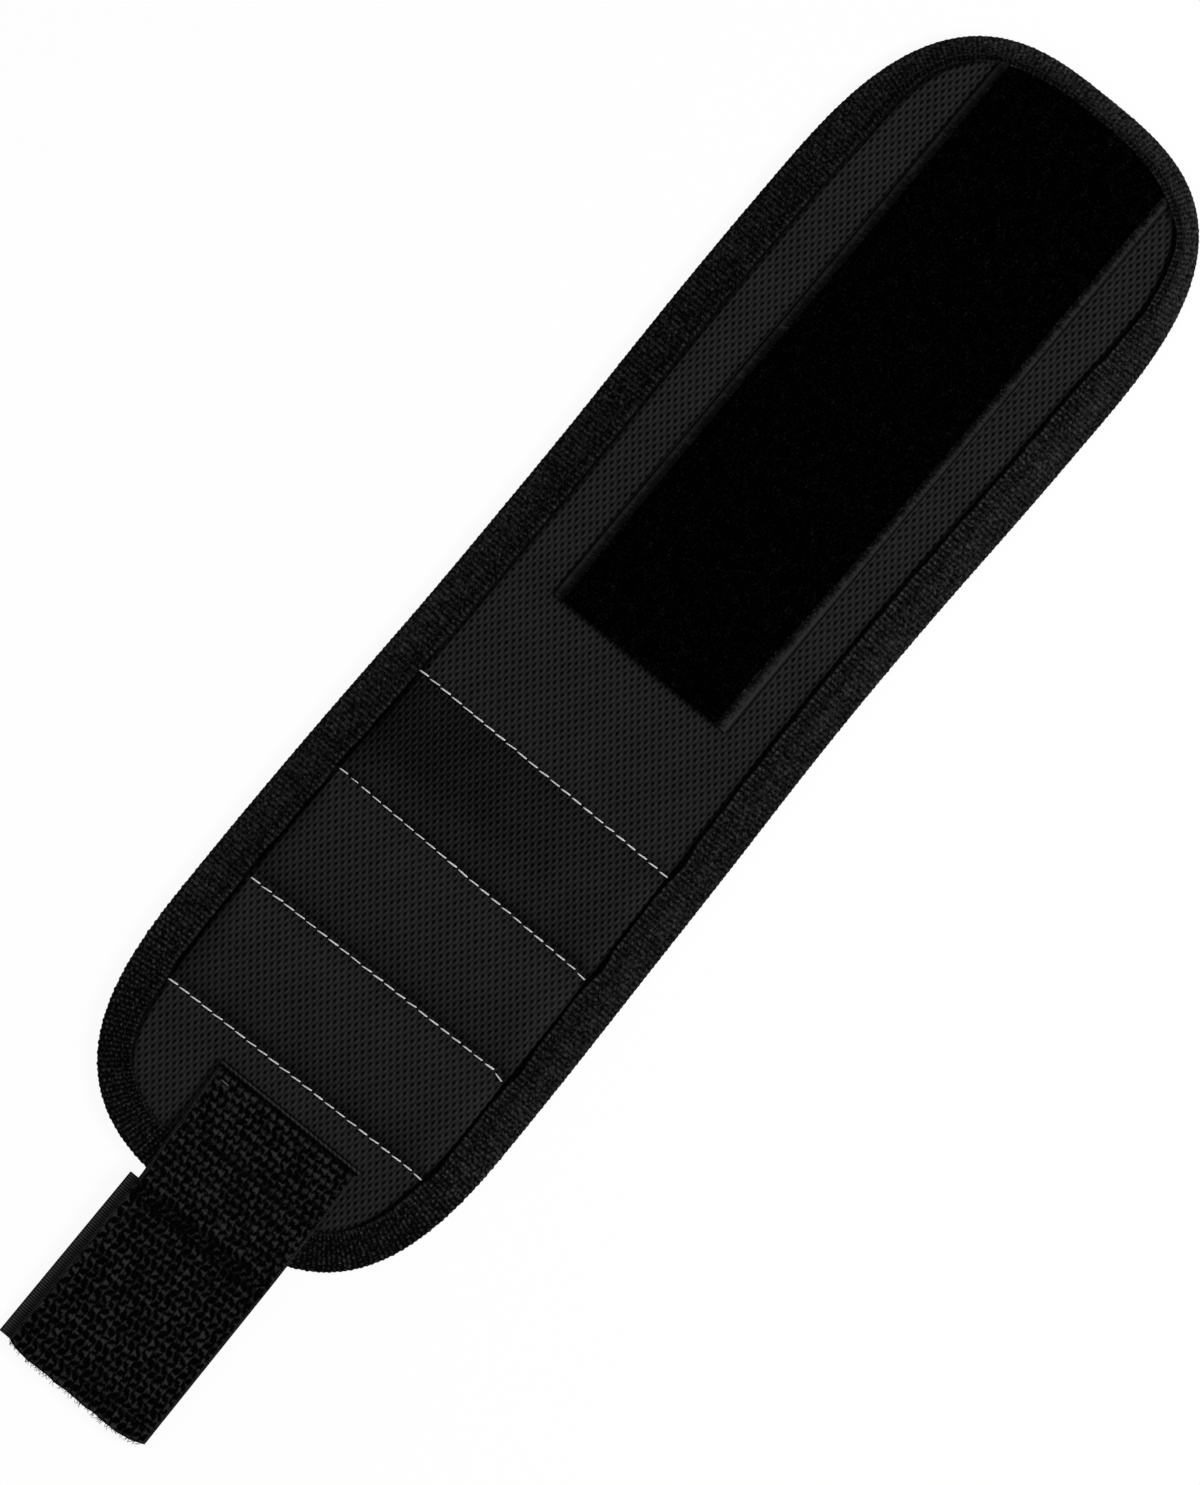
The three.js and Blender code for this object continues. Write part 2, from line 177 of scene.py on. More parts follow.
class WristbandSizes(bpy.types.PropertyGroup):
    """Sizes of yarns, stitches, pile and hooks."""

    shell_pitch: length_setting("Shell yarn pitch", "Between cross yarns of the shell", 1.24 * MM)
    shell_row: length_setting("Shell row pitch", "Between rows of the shell's lengthwise yarns", 1.0 * MM)
    shell_depth: length_setting("Shell relief", "From a yarn's top to a pit of the shell", 0.3 * MM)
    mesh_pitch: length_setting("Mesh pitch", "Between holes of the lining's mesh", 3.0 * MM)
    mesh_depth: length_setting("Mesh depth", "Depth of a hole of the lining's mesh", 0.6 * MM)
    binding_pitch: length_setting("Binding rib pitch", "Between cross ribs of the binding", 1.24 * MM)
    binding_row: length_setting("Binding row pitch", "Between lengthwise yarns of the binding", 0.75 * MM)
    binding_depth: length_setting("Binding relief", "From a rib's top to a pit of the binding", 0.24 * MM)
    elastic_pitch: length_setting("Elastic knit pitch", "Between knit stitches along the elastic", 2.17 * MM)
    elastic_row: length_setting("Elastic row pitch", "Between knit rows across the elastic", 0.93 * MM)
    elastic_depth: length_setting("Elastic relief", "From a knit stitch's top to a pit", 0.4 * MM)
    stitch_pitch: length_setting("White stitch pitch", "From one white stitch to the next", 3.12 * MM)
    stitch_gap: length_setting("White stitch gap", "Between neighbouring white stitches", 0.65 * MM)
    thread_radius: length_setting("White thread radius", "Half the white thread's thickness", 0.18 * MM)
    seam_pitch: length_setting("Seam stitch pitch", "From one black seam stitch to the next", 2.7 * MM)
    seam_radius: length_setting("Seam thread radius", "Half the black thread's thickness", 0.2 * MM)
    tape_width: length_setting("Loop tape width", "Across the loop tape with its selvedges", 49 * MM)
    selvedge: length_setting("Selvedge width", "Bare ribbed edge of the loop tape", 1.8 * MM)
    hook_pitch: length_setting("Hook pitch", "Between hooks of the hook tape", 1.7 * MM)


class WristbandColours(bpy.types.PropertyGroup):
    """Colours of cloth, thread, pile, metal and floor."""

    shell: colour_setting("Shell yarn", "Top of the shell's yarns", (0.022, 0.022, 0.023))
    lining: colour_setting("Lining", "Lining's mesh", (0.02, 0.02, 0.021))
    binding: colour_setting("Binding", "Top of the binding's ribs", (0.019, 0.019, 0.02))
    pile: colour_setting("Pile", "Brushed loops", (0.0006, 0.0006, 0.00065))
    selvedge: colour_setting("Selvedge", "Ribbed tape edges", (0.029, 0.029, 0.03))
    elastic: colour_setting("Elastic", "Top of the elastic's knit", (0.0145, 0.0145, 0.015))
    hook: colour_setting("Hooks", "Moulded hooks", (0.01, 0.01, 0.011))
    white_thread: colour_setting("White thread", "Rows between the pockets", (0.88, 0.88, 0.86))
    black_thread: colour_setting("Black thread", "Seams", (0.008, 0.008, 0.0085))
    foam: colour_setting("Foam", "Carriers of the magnets", (0.03, 0.03, 0.032))
    nickel: colour_setting("Nickel", "Plating of the magnets", (0.62, 0.61, 0.59))
    floor: colour_setting("Floor", "Floor and backdrop", (1.0, 1.0, 1.0))


def smoothstep(low, high, value):
    """0 below low, 1 above high, and a smooth cubic between."""
    share = np.clip((value - low) / (high - low), 0, 1)
    return share * share * (3 - 2 * share)


def bump(distance, reach):
    """A bell: 1 at no distance, falling off with the square of distance over reach."""
    return np.exp(-((distance / reach) ** 2))


def ripple(x, y, scale):
    """Slow uneven swell from about -1 to 1: three sine waves of unlike directions and lengths near scale."""
    a, b = x / scale, y / scale
    waves = ((2.1, 1.3, 0.4), (-1.7, 2.6, 2.2), (3.3, 0.9, 4.1))
    return sum(np.sin(i * a + j * b + start) for i, j, start in waves) / 3


def weave(u, v, pitch, row, parts=(0.5, 0.3, 0.2)):
    """Marks of a plain weave, from 0 to 1: a wave of twice each pitch along u and v picks every second
    crossing of the yarns, and waves of one pitch across and along part the yarns; parts gives the share of
    each wave. A slow swell moves the yarns a little off their lines."""
    along = np.pi * u / pitch + 0.3 * ripple(u, v, 2.7 * pitch)
    across = np.pi * v / row + 0.25 * ripple(v, u, 3.1 * row)
    crossing, rows, columns = parts
    marks = crossing * np.cos(along) * np.cos(across)
    marks = marks + rows * np.cos(2 * across) + columns * np.cos(2 * along)
    return (marks + rows + columns) / (1 + rows + columns)


def lumps(u, v, pitch, row, shift, size, slant=0.0, power=1):
    """Lumps of yarn, from 0 to 1: bells of this half size on a lattice of pitch and row that starts at shift,
    with flatter tops and steeper sides the higher the power. Chance moves each a little out of place and
    raises it more or less."""
    i, j = (np.round(part) for part in np.broadcast_arrays(u / pitch - shift[0], v / row - shift[1]))
    table = np.random.default_rng(31).random((61, 67, 3))
    chance = table[(i + 7 * shift[0]).astype(int) % 61, (2 * j + 2 * shift[1]).astype(int) % 67]
    beside = u - (i + shift[0] + 0.14 * (chance[..., 0] - 0.5)) * pitch
    above = v - (j + shift[1] + 0.2 * (chance[..., 1] - 0.5)) * row + slant * beside
    away = (beside / size[0]) ** 2 + (above / size[1]) ** 2
    return (0.62 + 0.38 * chance[..., 2]) * np.exp(-(away**power))


def knit(u, v, pitch, row, drawn):
    """Relief of the elastic, from 0 to 1: at every second crossing of its rows and columns a bell of a round
    head on a wide foot, or a bar with a short stem under it where it is drawn out. A yarn that swings as a
    cosine joins the feet of each row to the bars below, and low lumps fill the crossings between."""
    u, v = np.broadcast_arrays(u, v)
    u, v = u + 0.24 * MM * ripple(u, v, 1.1 * MM), v + 0.16 * MM * ripple(v, u, 0.9 * MM)
    u, v = u + 0.14 * MM * ripple(u, v, 0.36 * MM), v + 0.1 * MM * ripple(v, u, 0.33 * MM)
    wide, tall = 2 * pitch, 2 * row
    bells = []
    for half in (0, 0.5):
        heads = lumps(u, v - 0.36 * MM, wide, tall, (half, half), (0.46 * MM, 0.8 * MM), power=2)
        feet = lumps(u, v + 0.12 * MM, wide, tall, (half, half), (1.0 * MM, 0.32 * MM), power=2)
        bells.append(np.maximum(heads, feet))
    bars = lumps(u, v - 0.28 * MM, wide, tall, (0.5, 0.5), (1.05 * MM, 0.32 * MM), power=2)
    stems = lumps(u, v + 0.18 * MM, wide, tall, (0.5, 0.5), (0.44 * MM, 0.76 * MM), power=2)
    bells[1] = drawn * np.maximum(bars, 0.88 * stems) + (1 - drawn) * bells[1]
    swing = v + 0.38 * MM - 0.25 * MM * np.cos(2 * np.pi * u / wide)
    yarns = bump(swing - tall * np.round(swing / tall), 0.27 * MM) * (0.47 + 0.14 * ripple(v, u, 0.8 * MM))
    between = [lumps(u, v, wide, tall, shift, (0.8 * MM, 0.3 * MM), -0.2) for shift in ((0.5, 0), (0, 0.5))]
    low = np.maximum(yarns, 0.24 * np.maximum(*between))
    return np.maximum(np.maximum(*bells), low)


def middle_line(x):
    """The panel's middle: straight at the pockets, then bowing to -Y with the square of the way to the end,
    and a faint sway at the waist."""
    along = np.clip((x - STITCH_LINES[-1]) / (PANEL_END - STITCH_LINES[-1]), 0, None)
    return -SIDEWAYS_BOW * along**2 - 0.28 * MM * bump(x, 25 * MM) + 0.16 * MM * bump(x - 78 * MM, 25 * MM)


def half_width(x):
    """Half the panel's width: wide at the pockets, waisted, wider over the loop tape, and each end closed by
    a superellipse of ROUNDING_POWER."""
    place = x - PANEL_START
    wide, waist, loop = WIDTH_PLACES
    sides = POCKET_HALF_WIDTH + (WAIST_HALF_WIDTH - POCKET_HALF_WIDTH) * smoothstep(wide, waist, place)
    sides = sides + (LOOP_HALF_WIDTH - WAIST_HALF_WIDTH) * smoothstep(waist, loop, place)
    for distance, rounding in ((place, TAIL_ROUNDING), (PANEL_END - x, LOOP_ROUNDING)):
        left = np.clip(1 - distance / rounding, 0, 1)
        sides = sides * (1 - left**ROUNDING_POWER) ** (1 / ROUNDING_POWER)
    return sides


def panel_edge():
    """The panel's edge as a closed run of points, counter-clockwise from the tail's tip, with the way along
    it. The ends step evenly round the superellipse, the sides evenly along X."""
    turn = np.linspace(0, np.pi / 2, 900)
    reach = 1 - np.cos(turn) ** (2 / ROUNDING_POWER)
    sides = np.linspace(PANEL_START + TAIL_ROUNDING, PANEL_END - LOOP_ROUNDING, 1200)[1:-1]
    tail, tip = PANEL_START + TAIL_ROUNDING * reach, PANEL_END - LOOP_ROUNDING * reach
    x = np.concatenate([tail, sides, tip[::-1]])
    right = np.stack([x, middle_line(x) - half_width(x)], axis=1)
    left = np.stack([x, middle_line(x) + half_width(x)], axis=1)[::-1]
    points = np.concatenate([right, left[1:]])
    way = np.concatenate([[0], np.cumsum(np.hypot(*np.diff(points, axis=0).T))])
    return points, way


EDGE_POINTS, EDGE_WAY = panel_edge()
EDGE_TIP = np.argmax(EDGE_POINTS[:, 0])


def edge_at(way):
    """Points on the panel's edge at these ways along it."""
    way = way % EDGE_WAY[-1]
    return np.stack([np.interp(way, EDGE_WAY, EDGE_POINTS[:, axis]) for axis in (0, 1)], axis=-1)


def edge_inward(way):
    """Directions into the panel, square to its edge: the chord over 1.6 mm, turned to the left."""
    chord = edge_at(way + 0.8 * MM) - edge_at(way - 0.8 * MM)
    chord = chord / np.linalg.norm(chord, axis=-1, keepdims=True)
    return np.stack([-chord[..., 1], chord[..., 0]], axis=-1)


def edge_way(x, left):
    """Way along the panel's edge where it passes x, on its left or right side."""
    if left:
        return np.interp(-x, -EDGE_POINTS[EDGE_TIP:, 0], EDGE_WAY[EDGE_TIP:])
    return np.interp(x, EDGE_POINTS[:EDGE_TIP + 1, 0], EDGE_WAY[:EDGE_TIP + 1])


def edge_runs(k):
    """The ways along the panel's edge that stretch k of the band covers: both sides, or one run round the far
    tip."""
    low, high = CUTS[k], CUTS[k + 1]
    if k == len(BENDS) - 1:
        return [(edge_way(low, False), edge_way(low, True))]
    return [(edge_way(low, False), edge_way(high, False)), (edge_way(high, True), edge_way(low, True))]


def binding_width(x, y):
    """How far the binding reaches over the shell from the panel's edge at x and y: less on the far end, least
    round its right corner, and less on the tail's left corner."""
    right = y < middle_line(x)
    far = np.where(right, smoothstep(125 * MM, 172 * MM, x), smoothstep(140 * MM, 174 * MM, x))
    far_corner = 0.8 * MM * right * bump(x - 173 * MM, 5 * MM)
    tail_corners = np.where(right, 0.4, 1.6) * MM * bump(x + 118 * MM, 12 * MM)
    return BINDING_WIDTH - 3.5 * MM * far - (far_corner + tail_corners)


def binding_weave(x, y):
    """Painted light on the binding at x and y on the panel's edge, added to its relief: painted shade a
    little all round, more on the tail end and along the left side of the far half, and on the right side of
    the far half a faint painted highlight instead."""
    left = y > middle_line(x)
    tail = smoothstep(-85 * MM, -116 * MM, x)
    far = smoothstep(0, 85 * MM, x) * smoothstep(186 * MM, 172 * MM, x)
    return np.where(left, -0.05 - 0.21 * tail - 0.11 * far, -0.03 - 0.26 * tail + 0.05 * far)


INSET_X = np.linspace(PANEL_START, PANEL_END, 4000)


def inset_half_width(x, inset):
    """Half width of the panel inside a border: the half width less the border, lengthened by the edge's
    slope."""
    half = half_width(INSET_X)
    slope = np.gradient(half, INSET_X)
    return np.interp(x, INSET_X, np.clip(half - inset * np.hypot(1, slope), 0, None))


def inset_edges(inset, from_binding=False):
    """The panel's edge moved inwards by a border, or by a border counted from the binding's inner edge, as a
    lower and an upper height over X, by carrying the edge's points along their inward directions."""
    way = np.linspace(0, EDGE_WAY[-1], 6000)
    points = edge_at(way)
    points = points + (inset + from_binding * binding_width(*points.T))[..., None] * edge_inward(way)
    tip, tail = np.argmax(points[:, 0]), np.argmin(points[:, 0])
    if tail > tip:
        points = np.roll(points, -tail, axis=0)
        tip = np.argmax(points[:, 0])
    return points[:tip + 1], points[tip:][::-1]


def stretch_span(k, edges):
    """Where the layer inside these edges starts and ends on stretch k of the band."""
    return max(CUTS[k], edges[0][0, 0]), min(CUTS[k + 1], edges[0][-1, 0])


def held_grid(along, middle, rows, edges):
    """Places along X and at rows beside a middle line, held between a lower and an upper edge: X, Y, how far
    Y lies inside the nearer edge, and which quads to keep, all but those that lie wholly beyond one edge."""
    bottom, top = (np.interp(along, edge[:, 0], edge[:, 1]) for edge in edges)
    free = middle + rows
    y = np.clip(free, bottom, top)
    beyond = (free < bottom).astype(int) - (free > top).astype(int)
    corners = beyond[:-1, :-1] + beyond[1:, :-1] + beyond[:-1, 1:] + beyond[1:, 1:]
    return np.broadcast_to(along, y.shape), y, np.minimum(y - bottom, top - y), np.abs(corners) < 4


def tape_middle(x):
    """Y of the loop tape's middle: beside the band's own, and straighter."""
    return middle_line(x) - 0.5 * MM - 0.8 * MM * bump(x - 92 * MM, 75 * MM)


def row_place(row, y):
    """X of a white row at y: its bend line, moved by its shift and leaning evenly with y."""
    return STITCH_LINES[row] + ROW_SHIFTS[row] + ROW_LEANS[row] * y


def lattice(low, high, step):
    """Places at whole steps from low to high, with both ends."""
    inner = np.arange(np.ceil(low / step + 0.3), np.floor(high / step - 0.3) + 1) * step
    return np.concatenate([[low], inner, [high]])


def grid_faces(rows, columns, closed=False):
    """Quads of a grid, facing the way of rows crossed with columns; closed joins the last column to the
    first."""
    row = np.arange(rows - 1)[:, None] * columns
    column = np.arange(columns if closed else columns - 1)[None, :]
    after = (column + 1) % columns
    return np.stack([row + column, row + columns + column, row + columns + after, row + after], axis=-1)


def tube_faces(copies, rows, sides):
    """Quads of closed tubes: a closed grid, and a cap over each end made of quads from rim to rim."""
    j = np.arange(sides // 2 - 1)
    cap = np.stack([j, j + 1, sides - 2 - j, sides - 1 - j], axis=-1)
    tube = grid_faces(rows, sides, True).reshape(-1, 4)
    quads = np.concatenate([tube, cap, cap[:, ::-1] + (rows - 1) * sides])
    return (quads + (np.arange(copies) * rows * sides)[:, None, None]).reshape(-1, 4)


def new_piece(name, points, faces, material, uv=None, bake=None, relief=None):
    """An object at the origin from points and quads, with a metric UV map, a UV map for baking and a relief
    value."""
    used, faces = np.unique(faces, return_inverse=True)
    faces = faces.reshape(-1, 4)
    mesh = bpy.data.meshes.new(name)
    mesh.vertices.add(len(used))
    mesh.vertices.foreach_set("co", points[used].astype(np.float32).ravel())
    mesh.loops.add(faces.size)
    mesh.loops.foreach_set("vertex_index", faces.astype(np.int32).ravel())
    mesh.polygons.add(len(faces))
    mesh.polygons.foreach_set("loop_start", np.arange(0, faces.size, 4, dtype=np.int32))
    mesh.update(calc_edges=True)
    mesh.shade_smooth()
    for layer, values in (("cloth", uv), ("OFBake", bake)):
        if values is not None:
            corners = values[used][faces.ravel()].astype(np.float32)
            mesh.uv_layers.new(name=layer).uv.foreach_set("vector", corners.ravel())
    if relief is not None:
        heights = mesh.attributes.new("relief", "FLOAT", "POINT")
        heights.data.foreach_set("value", relief[used].astype(np.float32))
    if mesh.validate():
        raise ValueError(f"{name} has faults in its mesh")
    mesh.materials.append(material)
    piece = bpy.data.objects.new(name, mesh)
    bpy.context.scene.collection.objects.link(piece)
    return piece


def grid_piece(name, grids, material):
    """One piece from grids of points, UVs and relief, each with a mask of the quads to keep. The baking map
    stacks the grids' own UVs in bands."""
    points, faces, uvs, bakes, reliefs, start = [], [], [], [], [], 0
    for band, (place, uv, relief, keep) in enumerate(grids):
        rows, columns = relief.shape
        quads = grid_faces(rows, columns)
        quads = quads.reshape(-1, 4) if keep is None else quads[keep]
        low, high = uv.min(axis=(0, 1)), uv.max(axis=(0, 1))
        share = 0.01 + 0.98 * (uv - low) / (high - low)
        bake = np.stack([share[..., 0], (band + share[..., 1]) / len(grids)], axis=-1)
        points.append(place.reshape(-1, 3))
        faces.append(quads + start)
        uvs.append(uv.reshape(-1, 2))
        bakes.append(bake.reshape(-1, 2))
        reliefs.append(relief.ravel())
        start += rows * columns
    joined = [np.concatenate(part) for part in (points, faces, uvs, bakes, reliefs)]
    return new_piece(name, joined[0], joined[1], material, joined[2], joined[3], joined[4])


def tube_piece(name, paths, radius, sides, material, relief=None, lift=(0, 0, 1)):
    """One piece of many closed tubes: around each point of each path stands a ring of that radius, square to
    the path, which starts from the lift direction."""
    copies, rows = paths.shape[:2]
    along = np.gradient(paths, axis=1)
    along = along / np.linalg.norm(along, axis=-1, keepdims=True)
    side = np.cross(np.asarray(lift, float), along)
    side = side / np.linalg.norm(side, axis=-1, keepdims=True)
    over = np.cross(along, side)
    angle = np.arange(sides) * 2 * np.pi / sides
    ring = np.cos(angle)[:, None] * over[:, :, None] + np.sin(angle)[:, None] * side[:, :, None]
    radius = radius if np.ndim(radius) == 3 else np.asarray(radius)[..., None]
    radius = np.broadcast_to(radius, ring.shape[:3])
    points = paths[:, :, None] + radius[..., None] * ring
    way = np.cumsum(np.linalg.norm(np.diff(paths, axis=1, prepend=paths[:, :1]), axis=-1), axis=1)
    parts = (way[..., None], angle / 6.3 * MM)
    uv = np.stack([np.broadcast_to(part, radius.shape) for part in parts], axis=-1)
    values = np.broadcast_to(1.0 if relief is None else relief, radius.shape)
    return new_piece(name, points.reshape(-1, 3), tube_faces(copies, rows, sides), material,
                     uv.reshape(-1, 2), None, values.ravel())


def sharpen_ends(piece, rows, sides):
    """Keeps the caps of a closed tube from softening the shading of its end rings."""
    mesh = piece.data
    ends = np.zeros(len(mesh.edges) * 2, dtype=np.int32)
    mesh.edges.foreach_get("vertices", ends)
    ends = ends.reshape(-1, 2)
    first, last = ends < sides, ends >= (rows - 1) * sides
    sharp = first.all(axis=1) | last.all(axis=1)
    layer = mesh.attributes.get("sharp_edge") or mesh.attributes.new("sharp_edge", "BOOLEAN", "EDGE")
    layer.data.foreach_set("value", sharp)


def closed_piece(name, faces, material):
    """One flat closed tube from the grids of its upper and lower face: points, places along and across, and
    relief. The lower face lies beside the upper one on the UV map, and the baking map spreads both over its
    square."""
    point, along, across, shown = (
        np.concatenate([top, under[:, ::-1]], axis=1) for top, under in zip(*faces))
    across = across + np.repeat([0, UNDER_UV], shown.shape[1] // 2)
    uv = np.stack([along, across], axis=-1)
    rows, sides = shown.shape
    spread = (uv - uv.min(axis=(0, 1))) / np.ptp(uv, axis=(0, 1)) * 0.98 + 0.01
    piece = new_piece(name, point.reshape(-1, 3), tube_faces(1, rows, sides), material,
                      uv.reshape(-1, 2), spread.reshape(-1, 2), shown.ravel())
    sharpen_ends(piece, rows, sides)
    return piece


def bend_with(piece):
    """Bakes the piece's place into its mesh and leaves the piece at the origin."""
    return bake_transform(piece)


def covered(k, name):
    """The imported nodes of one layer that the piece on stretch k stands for: its own segment's, and at the far
    end the last one's too."""
    parts = SEGMENTS[k:] if k == len(BENDS) - 1 else SEGMENTS[k:k + 1]
    nodes = [name.format(part) for part in parts]
    return [node for node in nodes if node in frame["nodes"]]


# Shares of a cloth's colour by its relief: flat cloth with pits, knit on a dark ground, and ribbed tape.
# The low shares are partly the yarn's own dark and partly painted shade in the pits and gaps
PITTED = ((0.0, 0.03), (0.4, 0.5), (0.75, 1.0), (1.0, 1.35))
KNITTED = ((0.22, 0.01), (0.42, 0.3), (0.65, 0.95), (1.0, 1.9))
RIBBED = ((0.0, 0.05), (0.3, 0.42), (0.55, 0.9), (0.8, 1.5), (1.0, 2.3))


def feed(tree, socket, value):
    """Sets a socket to a number or colour, or links another node's output to it."""
    if isinstance(value, bpy.types.NodeSocket):
        tree.links.new(value, socket)
    else:
        socket.default_value = value


def put(tree, kind, settings=None, **inputs):
    """A new node with these settings and inputs."""
    node = tree.nodes.new(kind)
    for key, value in (settings or {}).items():
        setattr(node, key, value)
    for key, value in inputs.items():
        feed(tree, node.inputs[key], value)
    return node


def reckon(tree, operation, *values):
    """A Math node's result."""
    node = tree.nodes.new("ShaderNodeMath")
    node.operation = operation
    for socket, value in zip(node.inputs, values):
        feed(tree, socket, value)
    return node.outputs[0]


def ramp(tree, factor, stops):
    """A colour ramp's result, from stops of place and colour."""
    node = put(tree, "ShaderNodeValToRGB", Fac=factor)
    elements = node.color_ramp.elements
    while len(elements) < len(stops):
        elements.new(0.5)
    for element, (place, colour) in zip(elements, stops):
        element.position = place
        element.color = (*colour, 1)
    return node.outputs["Color"]


def shade(colour, share):
    """A colour made darker or paler by a factor."""
    return tuple(min(1.0, part * share) for part in colour)


def new_finish(name):
    """A new material, its tree and its shader."""
    material = bpy.data.materials.new(name)
    material.use_nodes = True
    tree = material.node_tree
    return material, tree, tree.nodes["Principled BSDF"]


def relief_value(tree):
    """The relief value that a piece carries."""
    return put(tree, "ShaderNodeAttribute", {"attribute_name": "relief"}).outputs["Fac"]


def surface(tree, shader, colour, fine, rough, grain, strength, depth, gloss):
    """Gives a shader its colour, a roughness that fine noise takes from one value to another, a bump of this
    strength and depth by the grain, and its gloss."""
    feed(tree, shader.inputs["Base Color"], colour)
    spread = put(tree, "ShaderNodeMapRange", Value=fine, **{"To Min": rough[0], "To Max": rough[1]})
    feed(tree, shader.inputs["Roughness"], spread.outputs["Result"])
    bumps = put(tree, "ShaderNodeBump", Strength=strength, Distance=depth, Height=grain)
    feed(tree, shader.inputs["Normal"], bumps.outputs["Normal"])
    shader.inputs["Specular IOR Level"].default_value = gloss


def cloth_place(tree, along, across):
    """Places on the cloth's own UV map, with along and across steps to the metre."""
    uv = put(tree, "ShaderNodeUVMap", {"uv_map": "cloth"}).outputs["UV"]
    return put(tree, "ShaderNodeMapping", Vector=uv, Scale=(along, across, 1.0)).outputs["Vector"]


def stretched_noise(tree, along, across, detail=3.0):
    """Noise on the cloth's own UV map, with along and across lumps to the metre."""
    place = cloth_place(tree, along, across)
    return put(tree, "ShaderNodeTexNoise", Vector=place, Scale=1.0, Detail=detail).outputs["Fac"]


def cloth_finish(name, colour, stops, fibre=(1500, 4000), rough=0.5, worn=0.2, glint=0.0):
    """Woven or knitted black yarn: the relief value takes the colour through stops of place and share, from
    dark pits to pale yarn tops, noise along the yarns gives fibres, cells of chance give glints, and slow
    noise gives worn and fresh patches. The dark of the pits is partly the yarn's own and partly painted shade."""
    material, tree, shader = new_finish(name)
    fibres = stretched_noise(tree, *fibre)
    patches = stretched_noise(tree, 110, 130, 4.0)
    cells = put(tree, "ShaderNodeTexVoronoi", Vector=cloth_place(tree, *fibre), Scale=1.0).outputs["Color"]
    cells = put(tree, "ShaderNodeSeparateColor", Color=cells).outputs["Red"]
    height = reckon(tree, "MULTIPLY_ADD", patches, worn, relief_value(tree))
    height = reckon(tree, "MULTIPLY_ADD", fibres, rough, height)
    height = reckon(tree, "SUBTRACT", height, (rough + worn + glint) / 2)
    height = reckon(tree, "MULTIPLY_ADD", cells, glint, height)
    stops = [(place, shade(colour, share)) for place, share in stops]
    surface(tree, shader, ramp(tree, height, stops), fibres, (0.68, 0.95), fibres, 0.35, 0.08 * MM, 0.02)
    return material


def thread_finish(name, colour, gloss):
    """Thread: fine noise along it gives plies and fibres in colour, gloss and bump."""
    material, tree, shader = new_finish(name)
    plies = stretched_noise(tree, 2600, 3500)
    height = reckon(tree, "MULTIPLY_ADD", plies, 0.5, reckon(tree, "MULTIPLY", relief_value(tree), 0.75))
    stops = [(0.1, shade(colour, 0.3)), (0.55, shade(colour, 0.75)), (0.95, colour)]
    surface(tree, shader, ramp(tree, height, stops), plies, (0.45, 0.8), plies, 0.4, 0.06 * MM, gloss)
    return material


def pile_finish(name, pile, selvedge):
    """Loop tape: the relief value is low on the selvedge, where it shows the ribs, and near 1 on the pile,
    where two sizes of noise leave pale flecks of loops on a black nap."""
    material, tree, shader = new_finish(name)
    relief = relief_value(tree)
    fleck = stretched_noise(tree, 1900, 1700, 2.0)
    nap = stretched_noise(tree, 380, 420, 3.0)
    mixed = reckon(tree, "MULTIPLY_ADD", nap, 0.35, reckon(tree, "MULTIPLY", fleck, 0.75))
    loops = ramp(tree, mixed, [(0.52, shade(pile, 0.3)), (0.62, pile), (0.8, shade(pile, 14.0))])
    ribs = put(tree, "ShaderNodeMapRange", Value=relief, **{"From Max": 0.5}).outputs["Result"]
    ribs = reckon(tree, "SUBTRACT", ribs, 0.3)
    yarns = reckon(tree, "MULTIPLY_ADD", stretched_noise(tree, 2500, 900), 0.6, ribs)
    edge = ramp(tree, yarns, [(0.0, shade(selvedge, 0.12)), (0.9, selvedge)])
    limits = {"From Min": 0.55, "From Max": 0.8}
    onto = put(tree, "ShaderNodeMapRange", Value=relief, **limits).outputs["Result"]
    mix = put(tree, "ShaderNodeMix", {"data_type": "RGBA"})
    for socket, value in ((0, onto), (6, edge), (7, loops)):
        feed(tree, mix.inputs[socket], value)
    surface(tree, shader, mix.outputs[2], fleck, (0.8, 1.0), mixed, 0.6, 0.25 * MM, 0.0)
    return material


def object_noise(tree, scale, detail=3.0, stretch=(1, 1, 1)):
    """Noise on Object coordinates, with scale lumps to the metre."""
    place = put(tree, "ShaderNodeTexCoord").outputs["Object"]
    place = put(tree, "ShaderNodeMapping", Vector=place, Scale=stretch).outputs["Vector"]
    return put(tree, "ShaderNodeTexNoise", Vector=place, Scale=scale, Detail=detail).outputs["Fac"]


def nickel_finish(name, colour):
    """Nickel plate: fine turned scratches in roughness and bump, and a faint uneven tarnish in the colour."""
    material, tree, shader = new_finish(name)
    plate = ramp(tree, object_noise(tree, 180), [(0.3, shade(colour, 0.8)), (0.7, colour)])
    scratches = object_noise(tree, 900, 5.0, (1, 9, 1))
    surface(tree, shader, plate, scratches, (0.18, 0.42), scratches, 0.15, 0.02 * MM, 0.5)
    shader.inputs["Metallic"].default_value = 1
    return material


def foam_finish(name, colour):
    """Cut foam: small round cells in colour and bump, over slow changes of tone."""
    material, tree, shader = new_finish(name)
    place = put(tree, "ShaderNodeTexCoord").outputs["Object"]
    cells = put(tree, "ShaderNodeTexVoronoi", Vector=place, Scale=1600.0).outputs["Distance"]
    tone = reckon(tree, "MULTIPLY_ADD", object_noise(tree, 90), 0.4, cells)
    tone = ramp(tree, tone, [(0.2, shade(colour, 0.35)), (0.8, colour)])
    surface(tree, shader, tone, cells, (0.98, 0.8), cells, 0.7, 0.3 * MM, 0.15)
    return material


# Shapes


